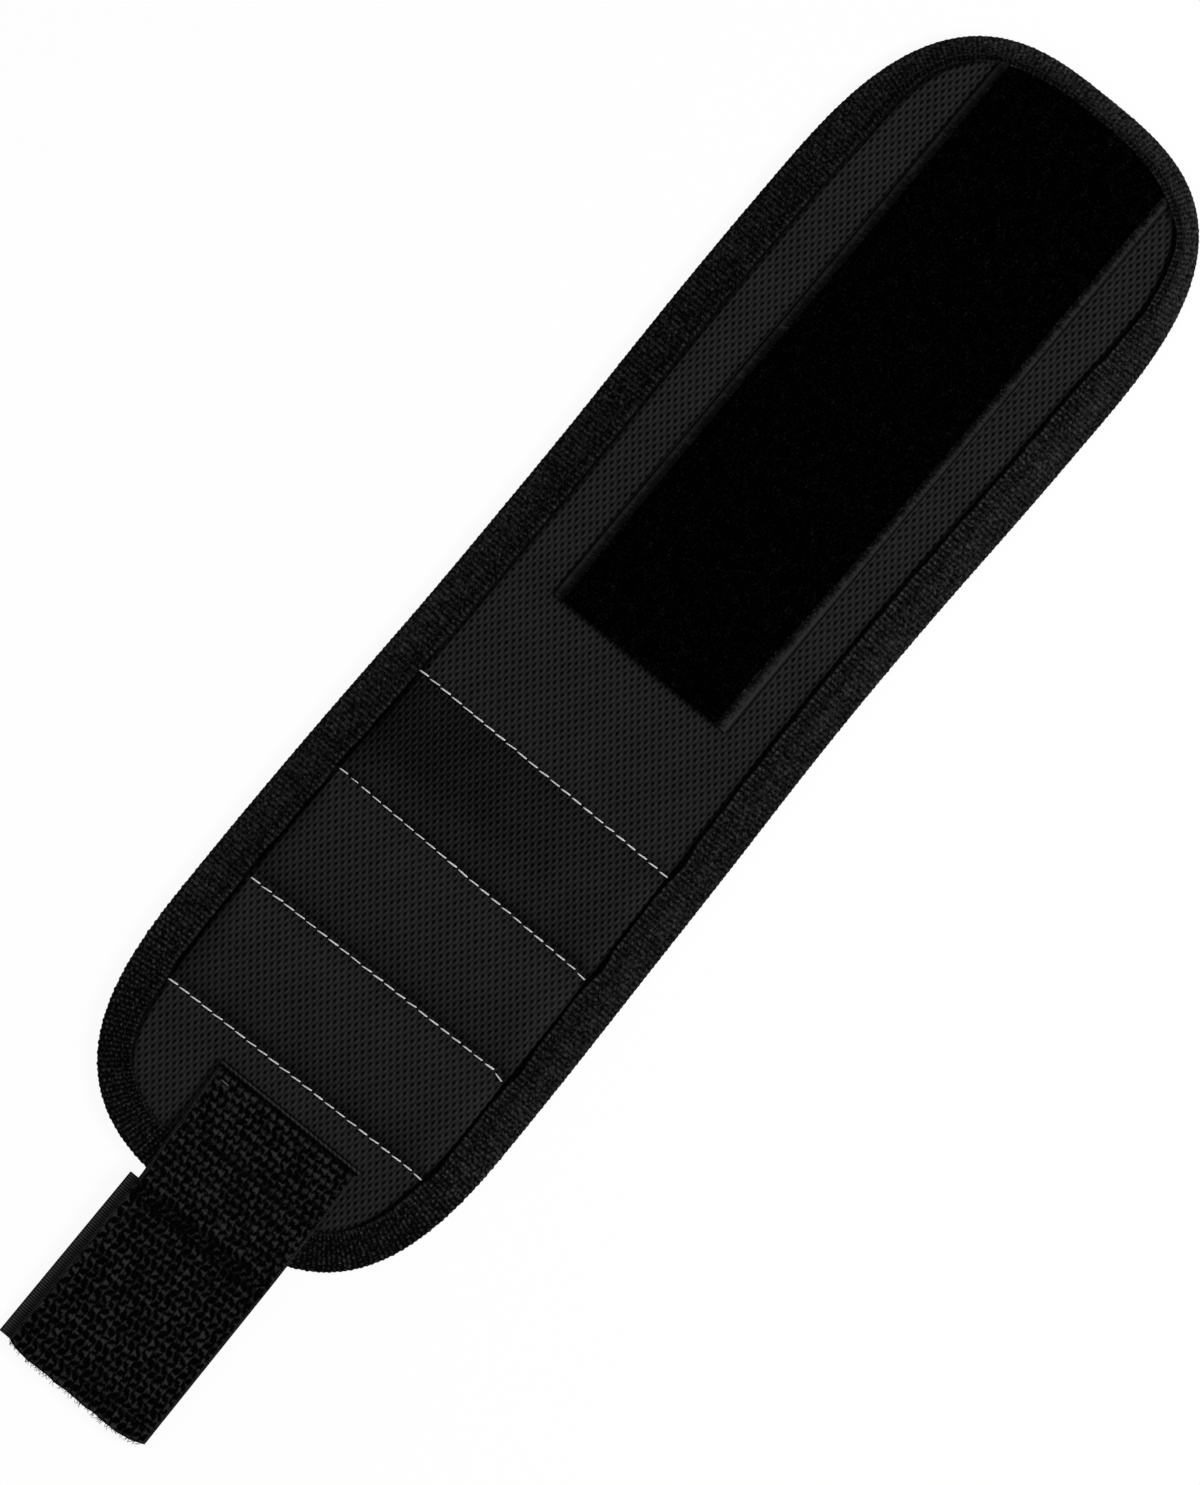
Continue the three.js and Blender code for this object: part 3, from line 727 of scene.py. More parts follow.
def pocket_crown(x, y):
    """The pockets' swell over the shell: between two rows an arch, one less the square of the way from the
    middle to CROWN_POWER, that rises from the binding as a quarter circle."""
    clear = inset_half_width(x, BINDING_WIDTH + 0.3 * MM)
    left = np.clip(1 - (clear - np.abs(y - middle_line(x))) / POCKET_RISE, 0, 1)
    lift = np.zeros_like(x)
    for start, end in zip(STITCH_LINES, STITCH_LINES[1:]):
        along = (x - (start + end) / 2) / ((end - start) / 2 - SEAM_ALLOWANCE)
        lift = lift + np.clip(1 - along**2, 0, 1) ** CROWN_POWER
    return CROWN_HEIGHT * lift * np.sqrt(1 - left**2)


def shell_cloth(x, y, sizes):
    """Height and relief of the shell: the pockets' swell, a dip along each white row with puckers a stitch
    apart that run out to both sides, folds that spread from the rows' ends, a slow swell, and on top the
    weave, where each float of yarn is a ridge with a pit behind it. Behind the rows and, more towards +Y,
    across the last pocket the pits are deeper and the colour is darker: painted shade. Beside the binding's
    inner edge the shell dips and its colour is darkened: painted shade."""
    v = y - middle_line(x)
    z = SHELL_TOP - 0.05 * MM + pocket_crown(x, y) + 0.06 * MM * ripple(x, y, 9 * MM)
    inside = smoothstep(38.5 * MM, 34 * MM, np.abs(v))
    last = len(STITCH_LINES) - 1
    # Painted shade: over the last pocket, more towards +Y, and behind each of the first three rows the colour
    # is darker; the pits there are also deeper.
    deep_pits_and_painted_shade = smoothstep(-38 * MM, -25 * MM, x) * (x < row_place(last, y))
    deep_pits_and_painted_shade = deep_pits_and_painted_shade * (0.2 + 0.8 * smoothstep(-28 * MM, 26 * MM, y))
    for row in range(len(STITCH_LINES)):
        beside = x - row_place(row, y)
        pucker = np.cos(2 * np.pi * y / sizes.stitch_pitch + 0.6 * row) * bump(beside, 3.2 * MM)
        z = z - inside * (0.45 * MM * bump(beside, 1.0 * MM) + 0.1 * MM * pucker)
        away = np.hypot(beside, np.abs(v) - ROW_REACH)
        fold = np.cos(6 * np.arctan2(beside, ROW_REACH - np.abs(v)) + row) * smoothstep(0, 2.5 * MM, away)
        z = z + 0.16 * MM * fold * bump(away, 6 * MM)
        deep_pits_and_painted_shade = deep_pits_and_painted_shade + 0.4 * (beside > 0) * np.exp(-np.abs(beside) / (4.5 * MM)) * (row < last)
    pitch, step = sizes.shell_pitch, sizes.shell_row
    ridges = weave(x, v + 0.22 * step, pitch, step, (0.5, 0.28, 0.22))
    pits = weave(x, v - 0.2 * step, pitch, step, (0.5, 0.25, 0.25)) * (1 + 0.3 * deep_pits_and_painted_shade)
    clear = [inset_half_width(x, binding_width(INSET_X, side * BINDING_WIDTH)) for side in (-1, 1)]
    from_binding = np.where(v < 0, *clear) - np.abs(v)
    # Beside the binding's inner edge the shell dips and its colour is darkened: painted shade.
    dip_and_painted_shade = smoothstep(1.2 * MM, 0.3 * MM, from_binding)
    z = z + sizes.shell_depth * (0.5 * ridges - 0.8 * pits) - 0.3 * MM * dip_and_painted_shade
    return z, np.clip(0.56 + 0.56 * ridges - 0.98 * pits - 0.22 * deep_pits_and_painted_shade, 0, 1) * (1 - 0.8 * dip_and_painted_shade)


def make_shell(sizes, colours):
    """The shell, one piece for each bend line: a grid a fraction of a yarn apart, wider under the loop tape,
    held inside the binding."""
    finish = cloth_finish("shell_cloth", colours.shell, PITTED)
    rows = np.arange(-240, 241) * sizes.shell_row / 5
    beside_tape = [rows[rows < -22.5 * MM], rows[rows > 22.5 * MM]]
    under_tape = np.concatenate([beside_tape[0], np.linspace(-22, 22, 41) * MM, beside_tape[1]])
    edges = inset_edges(SHELL_INSET)
    for k in range(len(BENDS)):
        low, high = stretch_span(k, edges)
        along = lattice(low, high, sizes.shell_pitch / 4)[:, None]
        x, y, _, keep = held_grid(along, middle_line(along), rows if k <= TAPE_BEND else under_tape, edges)
        z, relief = shell_cloth(x, y, sizes)
        uv = np.stack([x, y - middle_line(x)], axis=-1)
        grid = (np.stack([x, y, z], axis=-1), uv, relief, keep)
        piece = grid_piece(f"shell_{k + 1}", [grid], finish)
        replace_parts(bend_with(piece), *covered(k, "outer_shell_{}"))


def make_lining(sizes, colours):
    """The lining's wrist side, one piece for each bend line: three crossed waves make round holes in rows,
    with a groove along each white row and an edge that rises into the binding."""
    finish = cloth_finish("lining_mesh", colours.lining, PITTED, fibre=(3000, 3000))
    step = 0.5 * MM
    rows = np.arange(-90, 91)[::-1] * step
    edges = inset_edges(LINING_INSET)
    wave = 2 * np.pi / (sizes.mesh_pitch * np.sqrt(3) / 2)
    for k in range(len(BENDS)):
        low, high = stretch_span(k, edges)
        along = lattice(low, high, step)[:, None]
        x, y, from_edge, keep = held_grid(along, middle_line(along), rows, edges)
        v = y - middle_line(x)
        turns = np.arange(3) * np.pi / 3
        hole = smoothstep(0.9, 2.4, sum(np.cos(wave * (x * np.cos(a) + v * np.sin(a))) for a in turns))
        z = 0.12 * MM + sizes.mesh_depth * hole + 0.75 * MM * smoothstep(3.4 * MM, 2.2 * MM, from_edge)
        for row in range(len(STITCH_LINES)):
            z = z + 0.45 * MM * bump(x - row_place(row, y), 1.1 * MM) * (np.abs(v) < 38 * MM)
        grid = (np.stack([x, y, z], axis=-1), np.stack([x, v], axis=-1), 0.9 - 0.9 * hole, keep)
        piece = grid_piece(f"lining_{k + 1}", [grid], finish)
        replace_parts(bend_with(piece), *covered(k, "mesh_lining_{}"))


def binding_relief(along, across, edge, from_inner, flat, upper, sizes):
    """Relief of the binding: the lumps of a basket weave, coarser by the tail, which end in a row of loops
    along both inner edges. Painted light shifts the relief along the band, in colour and a little in height:
    painted shade on the tail end and the far half's left side, and at the far end a painted highlight on
    the outer roll and painted shade towards the inner edge."""
    u = along + 0.1 * MM * ripple(along, across, 1.2 * MM)
    v = across + 0.08 * MM * ripple(across, along, 0.9 * MM)
    wide, tall = 2 * sizes.binding_pitch, 2 * sizes.binding_row
    coarse = smoothstep(-70 * MM, -95 * MM, edge[:, :1]) * upper
    size = ((0.36 + 0.12 * coarse) * MM, (0.42 + 0.06 * coarse) * MM)
    crossings = ((1.0, (0, 0)), (1.0, (0.5, 0.5)), (0.75, (0.5, 0)), (0.75, (0, 0.5)))
    basket = np.maximum.reduce([share * lumps(u, v, wide, tall, shift, size) for share, shift in crossings])
    contrast = (0.75 + 0.3 * smoothstep(4.2 * MM, 2.4 * MM, from_inner)) * (1.15 + 0.85 * coarse)
    # Painted light along the binding: painted shade on the tail end and the far half's left side, a little
    # lighter on the far half's right side; it also lifts or sinks the surface a little.
    painted_light = binding_weave(edge[:, :1], edge[:, 1:])
    # At the far end the outer roll is lighter, a painted highlight, and the part towards the inner edge is
    # darker, painted shade.
    painted_light = painted_light - 0.05 * flat + (0.12 - 0.3 * flat) * smoothstep(135 * MM, 165 * MM, edge[:, :1])
    relief = 0.48 + (basket - 0.48) * contrast + painted_light * upper
    loops = lumps(u, from_inner, sizes.binding_pitch, 1.5 * MM, (0, 0.36), (0.36 * MM, 0.5 * MM))
    bead = smoothstep(1.3 * MM, 0.9 * MM, from_inner)
    # The loops by the inner edge are darkened by the same painted shade.
    return relief * (1 - bead) + (1.15 + 1.5 * np.minimum(painted_light, 0)) * loops * bead


def binding_section():
    """The folded tape's section from its lower inner edge, round the panel's edge, to its upper inner edge:
    insets, heights, directions out of the tape and the way across it. Two straight runs joined by a half
    circle."""
    roll = BINDING_TOP / 2
    under, over = np.linspace(BINDING_WIDTH, roll, 20)[:-1], np.linspace(roll, BINDING_WIDTH, 32)[1:]
    turn = np.linspace(-np.pi / 2, np.pi / 2, 24)
    inset = np.concatenate([under, roll * (1 - np.cos(turn)), over])
    height = np.concatenate([0 * under, roll * (1 + np.sin(turn)), 2 * roll + 0 * over])
    inward = np.concatenate([0 * under, -np.cos(turn), 0 * over])
    upward = np.concatenate([0 * under - 1, np.sin(turn), 0 * over + 1])
    way = np.concatenate([[0], np.cumsum(np.hypot(np.diff(inset), np.diff(height)))])
    return inset, height, inward, upward, way


def binding_grid(low, high, sizes):
    """Part of the binding: its section carried along the panel's edge, falling outwards where no elastic lies
    on it, with a stitched groove near each inner edge, and inner edges that wander and draw back beside the
    white rows."""
    inset, height, inward, upward, across = binding_section()
    upper = upward > -0.5
    along = lattice(low, high, sizes.binding_pitch / 4)[:, None]
    edge, into = edge_at(along[:, 0]), edge_inward(along[:, 0])
    draw = sum(bump(edge[:, 0] - line - 4 * MM, 4.5 * MM) for line in STITCH_LINES)[:, None]
    draw = draw * np.where(edge[:, 1] < 0, 0.75, 0.3)[:, None] * MM
    wander = 0.14 * MM * ripple(along, 0 * along, 4 * MM) - draw
    wander = wander - (BINDING_WIDTH - binding_width(edge[:, :1], edge[:, 1:])) * upper
    flat = np.clip((inset - BINDING_TOP / 2) / (BINDING_WIDTH - BINDING_TOP / 2), 0, 1)
    from_inner = BINDING_WIDTH - inset
    pull = 0.75 + 0.25 * np.cos(2 * np.pi * along / sizes.seam_pitch)
    free = 1 - (edge[:, :1] < -120 * MM) * smoothstep(22 * MM, 19 * MM, np.abs(edge[:, 1:] - FOLD[1]))
    sunk = 0.25 * MM * bump(from_inner - SEAM_INSET, 0.5 * MM) * pull
    sunk = sunk + 1.4 * MM * (0.75 - flat) * np.clip(upward, 0, 1) * free
    relief = binding_relief(along, across, edge, from_inner, flat, upper, sizes)
    out = sizes.binding_depth * (relief - 0.35 - 0.8 * np.clip(-upward, 0, 1)) - sunk * np.abs(upward)
    reach, rise = inset + wander * flat + out * inward, height + out * upward
    place = np.concatenate([edge[:, None] + reach[..., None] * into[:, None], rise[..., None]], axis=-1)
    uv = np.stack(np.broadcast_arrays(along, across), axis=-1)
    # Along the stitched groove the colour is darkened: painted shade in the groove.
    shown = relief * (1 - 0.5 * bump(from_inner - SEAM_INSET, 0.4 * MM))
    walls = []
    # The tape's cut inner edges get no relief and show black: painted shade at the binding's inner edge.
    for column, step, shift in ((0, BINDING_THICKNESS, -0.5 * MM), (-1, -BINDING_THICKNESS, 0.5 * MM)):
        wall = place[:, column] + [0, 0, step]
        wall_uv = uv[:, column] + [0, shift]
        walls.append((wall[:, None], wall_uv[:, None], 0 * shown[:, :1]))
    first, last = walls
    parts = zip(first, (place, uv, shown), last)
    return (*(np.concatenate(part, axis=1) for part in parts), None)


def make_binding(sizes, colours):
    """The edge binding, one piece for each bend line, with the tape on both sides of the band or round its
    far end."""
    finish = cloth_finish(
        "binding_tape", colours.binding, RIBBED, fibre=(2000, 2100), rough=0.9, worn=0.3, glint=0.6)
    for k in range(len(BENDS)):
        runs = edge_runs(k)
        grids = [binding_grid(*run, sizes) for run in runs]
        piece = grid_piece(f"binding_{k + 1}", grids, finish)
        bend_with(piece)
        nodes = [covered(k, f"edge_binding_{{}}{side}") for side in ("", "_left", "_right")]
        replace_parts(piece, *sum(nodes, []))


def bare_start(x, v):
    """How much further in than elsewhere the pile begins near the loop tape's start, more so on its -Y
    side."""
    return np.where(v < 0, 1.0, 0.3) * MM * bump(x - PILE_START, 34 * MM)


def tape_grid(low, high, sizes, limits, rows, step):
    """Part of the loop tape, across these places between its edges: a ribbed selvedge, an uneven step up and
    a napped top, held inside the binding at its far end, where it is pressed flat. The outermost places are
    the feet of its sides, whose colour falls to black: painted shade."""
    half = sizes.tape_width / 2
    along = lattice(max(low, PILE_START), min(high, limits[0][-1, 0]), step)[:, None]
    middle = tape_middle(along)
    x, y, from_binding, keep = held_grid(along, middle, rows, limits)
    v = y - middle
    from_side = half - np.abs(v)
    ragged = sizes.selvedge + 0.25 * MM * ripple(x, v, 0.5 * MM)
    ragged = ragged + 0.15 * MM * ripple(x, 40 * np.sign(v) * MM, 1.7 * MM) + bare_start(x, v)
    pile = smoothstep(-0.2 * MM, 0.4 * MM, from_side - ragged)
    ends = smoothstep(0.1 * MM, 2.2 * MM, from_binding)
    rib = 0.5 + 0.5 * np.cos(2 * np.pi * x / (0.42 * MM) + 0.5 * ripple(x, v, 3 * MM))
    nap = ripple(x, y, 0.8 * MM) + 0.7 * ripple(y, x, 0.35 * MM)
    base = SHELL_TOP + 0.15 * MM
    z = base + 0.3 * MM + 0.08 * MM * rib + 0.4 * MM * np.clip(from_side / (1.6 * MM), 0, 1)
    z = z + pile * (PILE_TOP - base - 1.0 * MM + 0.22 * MM * nap)
    z = base + (z - base) * (0.25 + 0.75 * ends)
    z[:, np.abs(rows) > half + 0.1 * MM] = base
    # Down the tape's sides the selvedge's colour falls to black: painted shade at the tape's edge.
    bare = 0.5 * (0.5 + 0.5 * rib) * smoothstep(-0.05 * MM, 0.2 * MM, from_side) * (1 - 0.15 * from_side / MM)
    relief = np.where(pile > 0.4, 0.8 + 0.2 * pile, bare)
    return np.stack([x, y, z], axis=-1), np.stack([x, v], axis=-1), relief, keep


def loop_hair_paths(low, high, edges, half, chance):
    """Loose loops of the pile between low and high: paths of short curved hairs that lean any way, more than
    half of them along the two ragged sides, and how pale each is."""
    count = int((high - low) / MM * 48)
    x = low + (high - low) * chance.random(count)
    at_side, which = chance.random(count) < 0.55, np.sign(chance.random(count) - 0.5)
    side = np.where(at_side, which, chance.uniform(-1, 1, count))
    v = side * half + 0.3 * MM * chance.standard_normal(count) * (np.abs(side) == 1)
    v = v - side * bare_start(x, side) * (np.abs(side) > 0.9)
    y = tape_middle(x) + v
    bottom, top = (np.interp(x, edge[:, 0], edge[:, 1]) for edge in edges)
    inside = (y > bottom) & (y < top)
    x, y, side, count = x[inside], y[inside], side[inside], int(inside.sum())
    turn = chance.uniform(0, 2 * np.pi, count)
    lean = np.stack([np.cos(turn), np.sin(turn) + np.where(np.abs(side) == 1, side, 0)], axis=-1)
    size = chance.uniform(0.35, 0.95, count)[:, None, None] * MM
    t = np.linspace(0, 1, 3)[None, :, None]
    root = np.stack([x, y, np.full(count, PILE_TOP - 0.75 * MM)], axis=-1)[:, None]
    curve = np.concatenate([lean[:, None] * t * size, np.sin(t * 2.4) * 0.62 * MM + 0 * size], axis=-1)
    tone = np.where(np.abs(side) == 1, 0.0, chance.random(count) ** 2)[:, None, None]
    return root + curve, tone


def make_loop_tape(sizes, colours):
    """The loop tape, one piece for each bend line that it crosses, and its loose loops. The grid is finer
    along the tape's two sides than between them."""
    finish = pile_finish("loop_pile", colours.pile, colours.selvedge)
    hair = thread_finish("loop_hairs", shade(colours.pile, 16.0), 0.02)
    limits, inner = inset_edges(-0.6 * MM, True), inset_edges(0.6 * MM, True)
    chance = np.random.default_rng(11)
    width = sizes.tape_width
    side = width / 2 - np.array([-0.4, 0, 0.12, 0.5, 1.0, 1.4, 1.8, 2.2, 2.6, 3.1, 3.6]) * MM
    between = np.linspace(-side[-1], side[-1], 121)
    strips = ((-side, 0.14 * MM), (between, 0.4 * MM), (side[::-1], 0.14 * MM))
    thick = 0.075 * MM * np.array([1, 0.95, 0.5])[None]
    for k in range(TAPE_BEND, len(BENDS)):
        low, high = max(CUTS[k], PILE_START), min(CUTS[k + 1], inner[0][-1, 0])
        number = k - TAPE_BEND + 1
        grids = [tape_grid(CUTS[k], CUTS[k + 1], sizes, limits, *strip) for strip in strips]
        piece = grid_piece(f"loop_tape_{number}", grids, finish)
        bend_with(piece)
        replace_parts(piece, *covered(k, "loop_tape_{}"))
        paths, tone = loop_hair_paths(low, high, inner, width / 2 - sizes.selvedge, chance)
        hairs = tube_piece(f"loop_hairs_{number}", paths, thick, 4, hair, tone)
        bend_with(hairs)


def stitch_paths(start, end, across, lift, dive, points):
    """Paths of stitches from start to end: straight between them, raised in the middle by lift and sunk at
    both ends by dive with the tenth power of the way from the middle."""
    t = np.sin(np.linspace(-np.pi / 2, np.pi / 2, points))[None, :, None]
    line = (start + end)[:, None] / 2 + (end - start)[:, None] / 2 * t
    return line + np.asarray(across, float) * (lift * (1 - t**2) - dive * t**10)


def make_pocket_stitches(sizes, colours):
    """The white rows over and under the band, one piece for each bend line: twisted two-ply stitches, a
    little askew, that sink into the cloth at both ends; towards -Y they are shorter, and the last ones curl
    towards the tail."""
    finish = thread_finish("white_thread", colours.white_thread, 0.35)
    chance = np.random.default_rng(5)
    sides = 6
    angle = np.arange(sides) * 2 * np.pi / sides
    taper = np.array([0.75, 1, 1, 1, 1, 1, 1, 1, 0.75])[None, :, None]
    count = int(2 * ROW_REACH / sizes.stitch_pitch)
    ends = np.linspace(-ROW_REACH, ROW_REACH, count + 1)
    gap = sizes.stitch_gap * (1 + 0.5 * smoothstep(10 * MM, -30 * MM, ends[:-1]))
    for row in range(len(STITCH_LINES)):
        slack = chance.uniform(-0.07, 0.07, (count, 2)) * MM
        low = ends[:-1] + gap / 2 + slack[:, 0]
        high = ends[1:] - gap / 2 + slack[:, 1]
        askew = (0.24 + 0.08 * chance.standard_normal(count)) * MM
        low_x, high_x = (
            row_place(row, y) + lean / 2 - ROW_CURLS[row] * smoothstep(-32.5 * MM, -37 * MM, y)
            for y, lean in ((low, askew), (high, -askew)))
        paths = []
        for level, way in ((SHELL_TOP + 0.02 * MM, 1), (0.4 * MM, -1)):
            start = np.stack([low_x, low, np.full(count, level)], axis=-1)
            end = np.stack([high_x, high, np.full(count, level)], axis=-1)
            paths.append(stitch_paths(start, end, (0, 0, way), 0.08 * MM, 0.6 * MM, taper.size))
        paths = np.concatenate(paths)
        twist = np.linspace(0, 2.2 * np.pi, paths.shape[1])[None, :, None]
        plies = 1 + 0.13 * np.cos(2 * angle - twist)
        radius = sizes.thread_radius * plies * taper * (1 + 0.1 * chance.standard_normal((len(paths), 1, 1)))
        piece = tube_piece(
            f"pocket_stitches_{row + 1}", paths, radius, sides, finish, (plies - 0.87) * 3.8)
        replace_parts(bend_with(piece), f"pocket_stitch_{row + 1}")


def stitch_middles(low, high, pitch):
    """Middles of stitches that fill the way from low to high evenly, about a pitch apart."""
    count = max(1, round((high - low) / pitch))
    return low + (np.arange(count) + 0.5) * (high - low) / count


def beside_edge(way, inset, level):
    """Points at one height, inset from the panel's edge at these ways along it."""
    flat = edge_at(way) + np.reshape(inset, (-1, 1)) * edge_inward(way)
    return np.column_stack([flat, np.full(len(way), level)])


def make_seams(sizes, colours):
    """Black seams on both faces of the binding and along the loop tape's selvedges, one piece for each bend
    line: short stitches that follow their line and sink at both ends. A few pale stitches end one seam."""
    finish = thread_finish("black_thread", colours.black_thread, 0.04)
    reach = 0.36 * sizes.seam_pitch
    taper = np.array([0.6, 0.9, 1, 1, 1, 0.9, 0.6])[None]
    faces = ((BINDING_TOP - 0.42 * MM, 0.75), (0.36 * MM, 0))
    for k in range(len(BENDS)):
        ends = ([], [])
        for low, high in edge_runs(k):
            way = stitch_middles(low, high, sizes.seam_pitch)
            for level, share in faces:
                for at, part in zip((way - reach, way + reach), ends):
                    narrowed = share * (BINDING_WIDTH - binding_width(*edge_at(at).T))
                    part.append(beside_edge(at, BINDING_WIDTH - narrowed - SEAM_INSET, level))
        if k >= TAPE_BEND:
            low, high = max(CUTS[k], PILE_START), min(CUTS[k + 1], PILE_END - 9 * MM)
            x = stitch_middles(low, high, sizes.seam_pitch)
            for side in (-1, 1):
                for at, part in zip((x - reach, x + reach), ends):
                    y = tape_middle(at) + side * (sizes.tape_width / 2 - 1.1 * MM)
                    part.append(np.column_stack([at, y, np.full(len(x), SHELL_TOP + 0.62 * MM)]))
        start, end = (np.concatenate(part) for part in ends)
        outward = np.where(start[:, 2] < SHELL_TOP / 2, -1.0, 1.0)[:, None, None] * np.array([0, 0, 1.0])
        paths = stitch_paths(start, end, outward, 0.05 * MM, 0.25 * MM, taper.size)
        bend_with(tube_piece(f"seam_{k + 1}", paths, sizes.seam_radius * taper, 6, finish))
    glint = thread_finish("pale_thread", shade(colours.white_thread, 0.35), 0.2)
    pale = edge_way(64.0 * MM, True) + np.arange(6) * 2.35 * MM
    level, half = BINDING_TOP - 0.22 * MM, 0.62 * MM
    ends = [beside_edge(at, BINDING_WIDTH - 0.35 * MM, level) for at in (pale - half, pale + half)]
    taper = np.array([0.5, 0.9, 1, 1, 1, 0.9, 0.5])[None]
    paths = stitch_paths(*ends, (0, 0, 1), 0.08 * MM, 0.3 * MM, taper.size)
    bend_with(tube_piece("seam_pale_end", paths, 0.17 * MM * taper, 6, glint))


def elastic_line(way):
    """The elastic's middle line by the way from its fold: on the panel it lies on the shell, climbs over the
    binding as a smooth step, and past the fold it runs straight down the tail. Gives points and directions
    upwards."""
    x = np.where(way < 0, FOLD[0] - way, FOLD[0] + TAIL_WAY[0] * way)
    on_shell = SHELL_TOP + 0.9 * MM
    climb = smoothstep(-117 * MM, -124.5 * MM, x)
    z = np.where(way < 0, on_shell + (FOLD[2] - on_shell) * climb, FOLD[2] + TAIL_WAY[2] * way)
    slope = np.gradient(z, way)
    up = np.stack([slope, 0 * slope, np.ones_like(slope)], axis=-1)
    up = up / np.linalg.norm(up, axis=-1, keepdims=True)
    return np.stack([x, np.full_like(x, FOLD[1]), z], axis=-1), up


def elastic_place(way, y):
    """Y on the band of a place y across the elastic: a little wider at its free end, and wider still and
    shifted to +Y towards its sewn end."""
    sewn, free = np.clip(way / ELASTIC_START, 0, None), np.clip(way / ELASTIC_END, 0, 1)
    return y * (1.005 + 0.037 * sewn + 0.007 * free) + MM * (0.4 + 1.3 * sewn - 0.2 * free)


def cut_trim(y):
    """How far the elastic's cut falls short of a square one: rounded off at both corners, more so at -Y, and
    uneven."""
    left, right = np.clip((y - 14 * MM) / (5 * MM), 0, 1), np.clip((-y - 11 * MM) / (8 * MM), 0, 1)
    return MM * (1.4 * left**2 + 1.8 * right**2 + 0.15 * ripple(y, 0 * y, 2.2 * MM))


def elastic_faces(low, high, sizes):
    """Upper and lower face of a part of the elastic, carried along its middle line: points, places along and
    across, and relief. The edges are round with a beaded selvedge, the sewn end is a cord, and sewn rows are
    pressed in."""
    way = lattice(low, high, sizes.elastic_pitch / 12)
    whole = np.linspace(ELASTIC_START - 2 * MM, ELASTIC_END + 2 * MM, 3000)
    centre, up = (
        np.stack([np.interp(way, whole, part[:, axis]) for axis in range(3)], axis=-1)
        for part in elastic_line(whole))
    y = np.linspace(ELASTIC_HALF, -ELASTIC_HALF, int(round(2 * ELASTIC_HALF / (sizes.elastic_row / 4))))
    from_edge = ELASTIC_HALF - np.abs(y)
    round_edge = np.sqrt(np.clip(1 - (np.clip(0.6 * MM - from_edge, 0, None) / (0.62 * MM)) ** 2, 0, 1))
    pressed = sum(bump(way - at, wide) * deep for at, wide, deep in PRESSED_ROWS)[:, None]
    way = way[:, None]
    start = way - ELASTIC_START
    ends = np.minimum(start, ELASTIC_END - way)
    thick = (0.7 * MM - sizes.elastic_depth / 2) * (0.55 + 0.45 * smoothstep(0, 1.2 * MM, ends))
    thick = thick * (1 - 0.5 * pressed)
    bead = smoothstep(0.9 * MM, 0.6 * MM, from_edge)
    beads = 0.6 + 0.4 * np.cos(2 * np.pi * way / (0.54 * MM))
    raw = smoothstep(1.7 * MM, 1.3 * MM, start)
    twist = 1.0 + 0.3 * np.cos(2 * np.pi * (y + 0.8 * start) / (1.3 * MM))
    cord = bump(start - 0.6 * MM, 0.42 * MM) * twist
    trim = cut_trim(y) * smoothstep(ELASTIC_END - 9 * MM, ELASTIC_END, way)
    faces = []
    for face, slide in ((1, 0), (-1, sizes.elastic_pitch / 2)):
        relief = knit(slide - way, y, sizes.elastic_pitch, sizes.elastic_row, smoothstep(0, 2 * MM, way))
        relief = relief * (1 - bead) + beads * bead
        relief = relief * (1 - raw) + cord * raw
        relief = relief * (1 - 0.7 * pressed)
        height = thick * (0.2 + 0.8 * round_edge) + sizes.elastic_depth * (relief - 0.4) * round_edge
        point = centre[:, None] + up[:, None] * (face * height)[..., None]
        point[..., 1] += elastic_place(way, y)
        point -= trim[..., None] * TAIL_WAY
        shown = relief * (1 - 0.4 * smoothstep(0.5 * MM, 0.1 * MM, ends))
        faces.append((point, *np.broadcast_arrays(way, y), shown))
    return faces


def make_elastic_threads(sizes, colours):
    """The seam across each part of the elastic, and the pale end of a thread at its sewn end."""
    thread = thread_finish("elastic_thread", shade(colours.black_thread, 0.35), 0.04)
    seams = (("elastic_seam_sewn", SEWN_SEAM, "tail_end"), ("elastic_seam_tail", TAIL_SEAM, "hook_tail"))
    for name, way, body in seams:
        middle, up = (part[1] for part in elastic_line(np.array([way - 0.5 * MM, way, way + 0.5 * MM])))
        y = np.arange(1.5 * MM - ELASTIC_HALF, ELASTIC_HALF - 3.5 * MM, sizes.seam_pitch)
        y = elastic_place(way, y)[:, None] * np.array([0, 1, 0])
        start, end = (middle + 0.42 * MM * up + y + [0, part * sizes.seam_pitch, 0] for part in (0.12, 0.88))
        paths = stitch_paths(start, end, up, 0.06 * MM, 0.35 * MM, 7)
        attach(tube_piece(name, paths, 0.15 * MM, 6, thread, lift=up), body)
    pale = thread_finish("elastic_thread_end", shade(colours.white_thread, 0.1), 0.1)
    start = np.array([[-109.1, 10.7, 4.3]]) * MM
    paths = stitch_paths(start, start + np.array([0.05, 1.9, 0]) * MM, (0, 0, 1), 0.3 * MM, 0.1 * MM, 9)
    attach(tube_piece("elastic_thread_end", paths, 0.17 * MM, 6, pale), "tail_end")


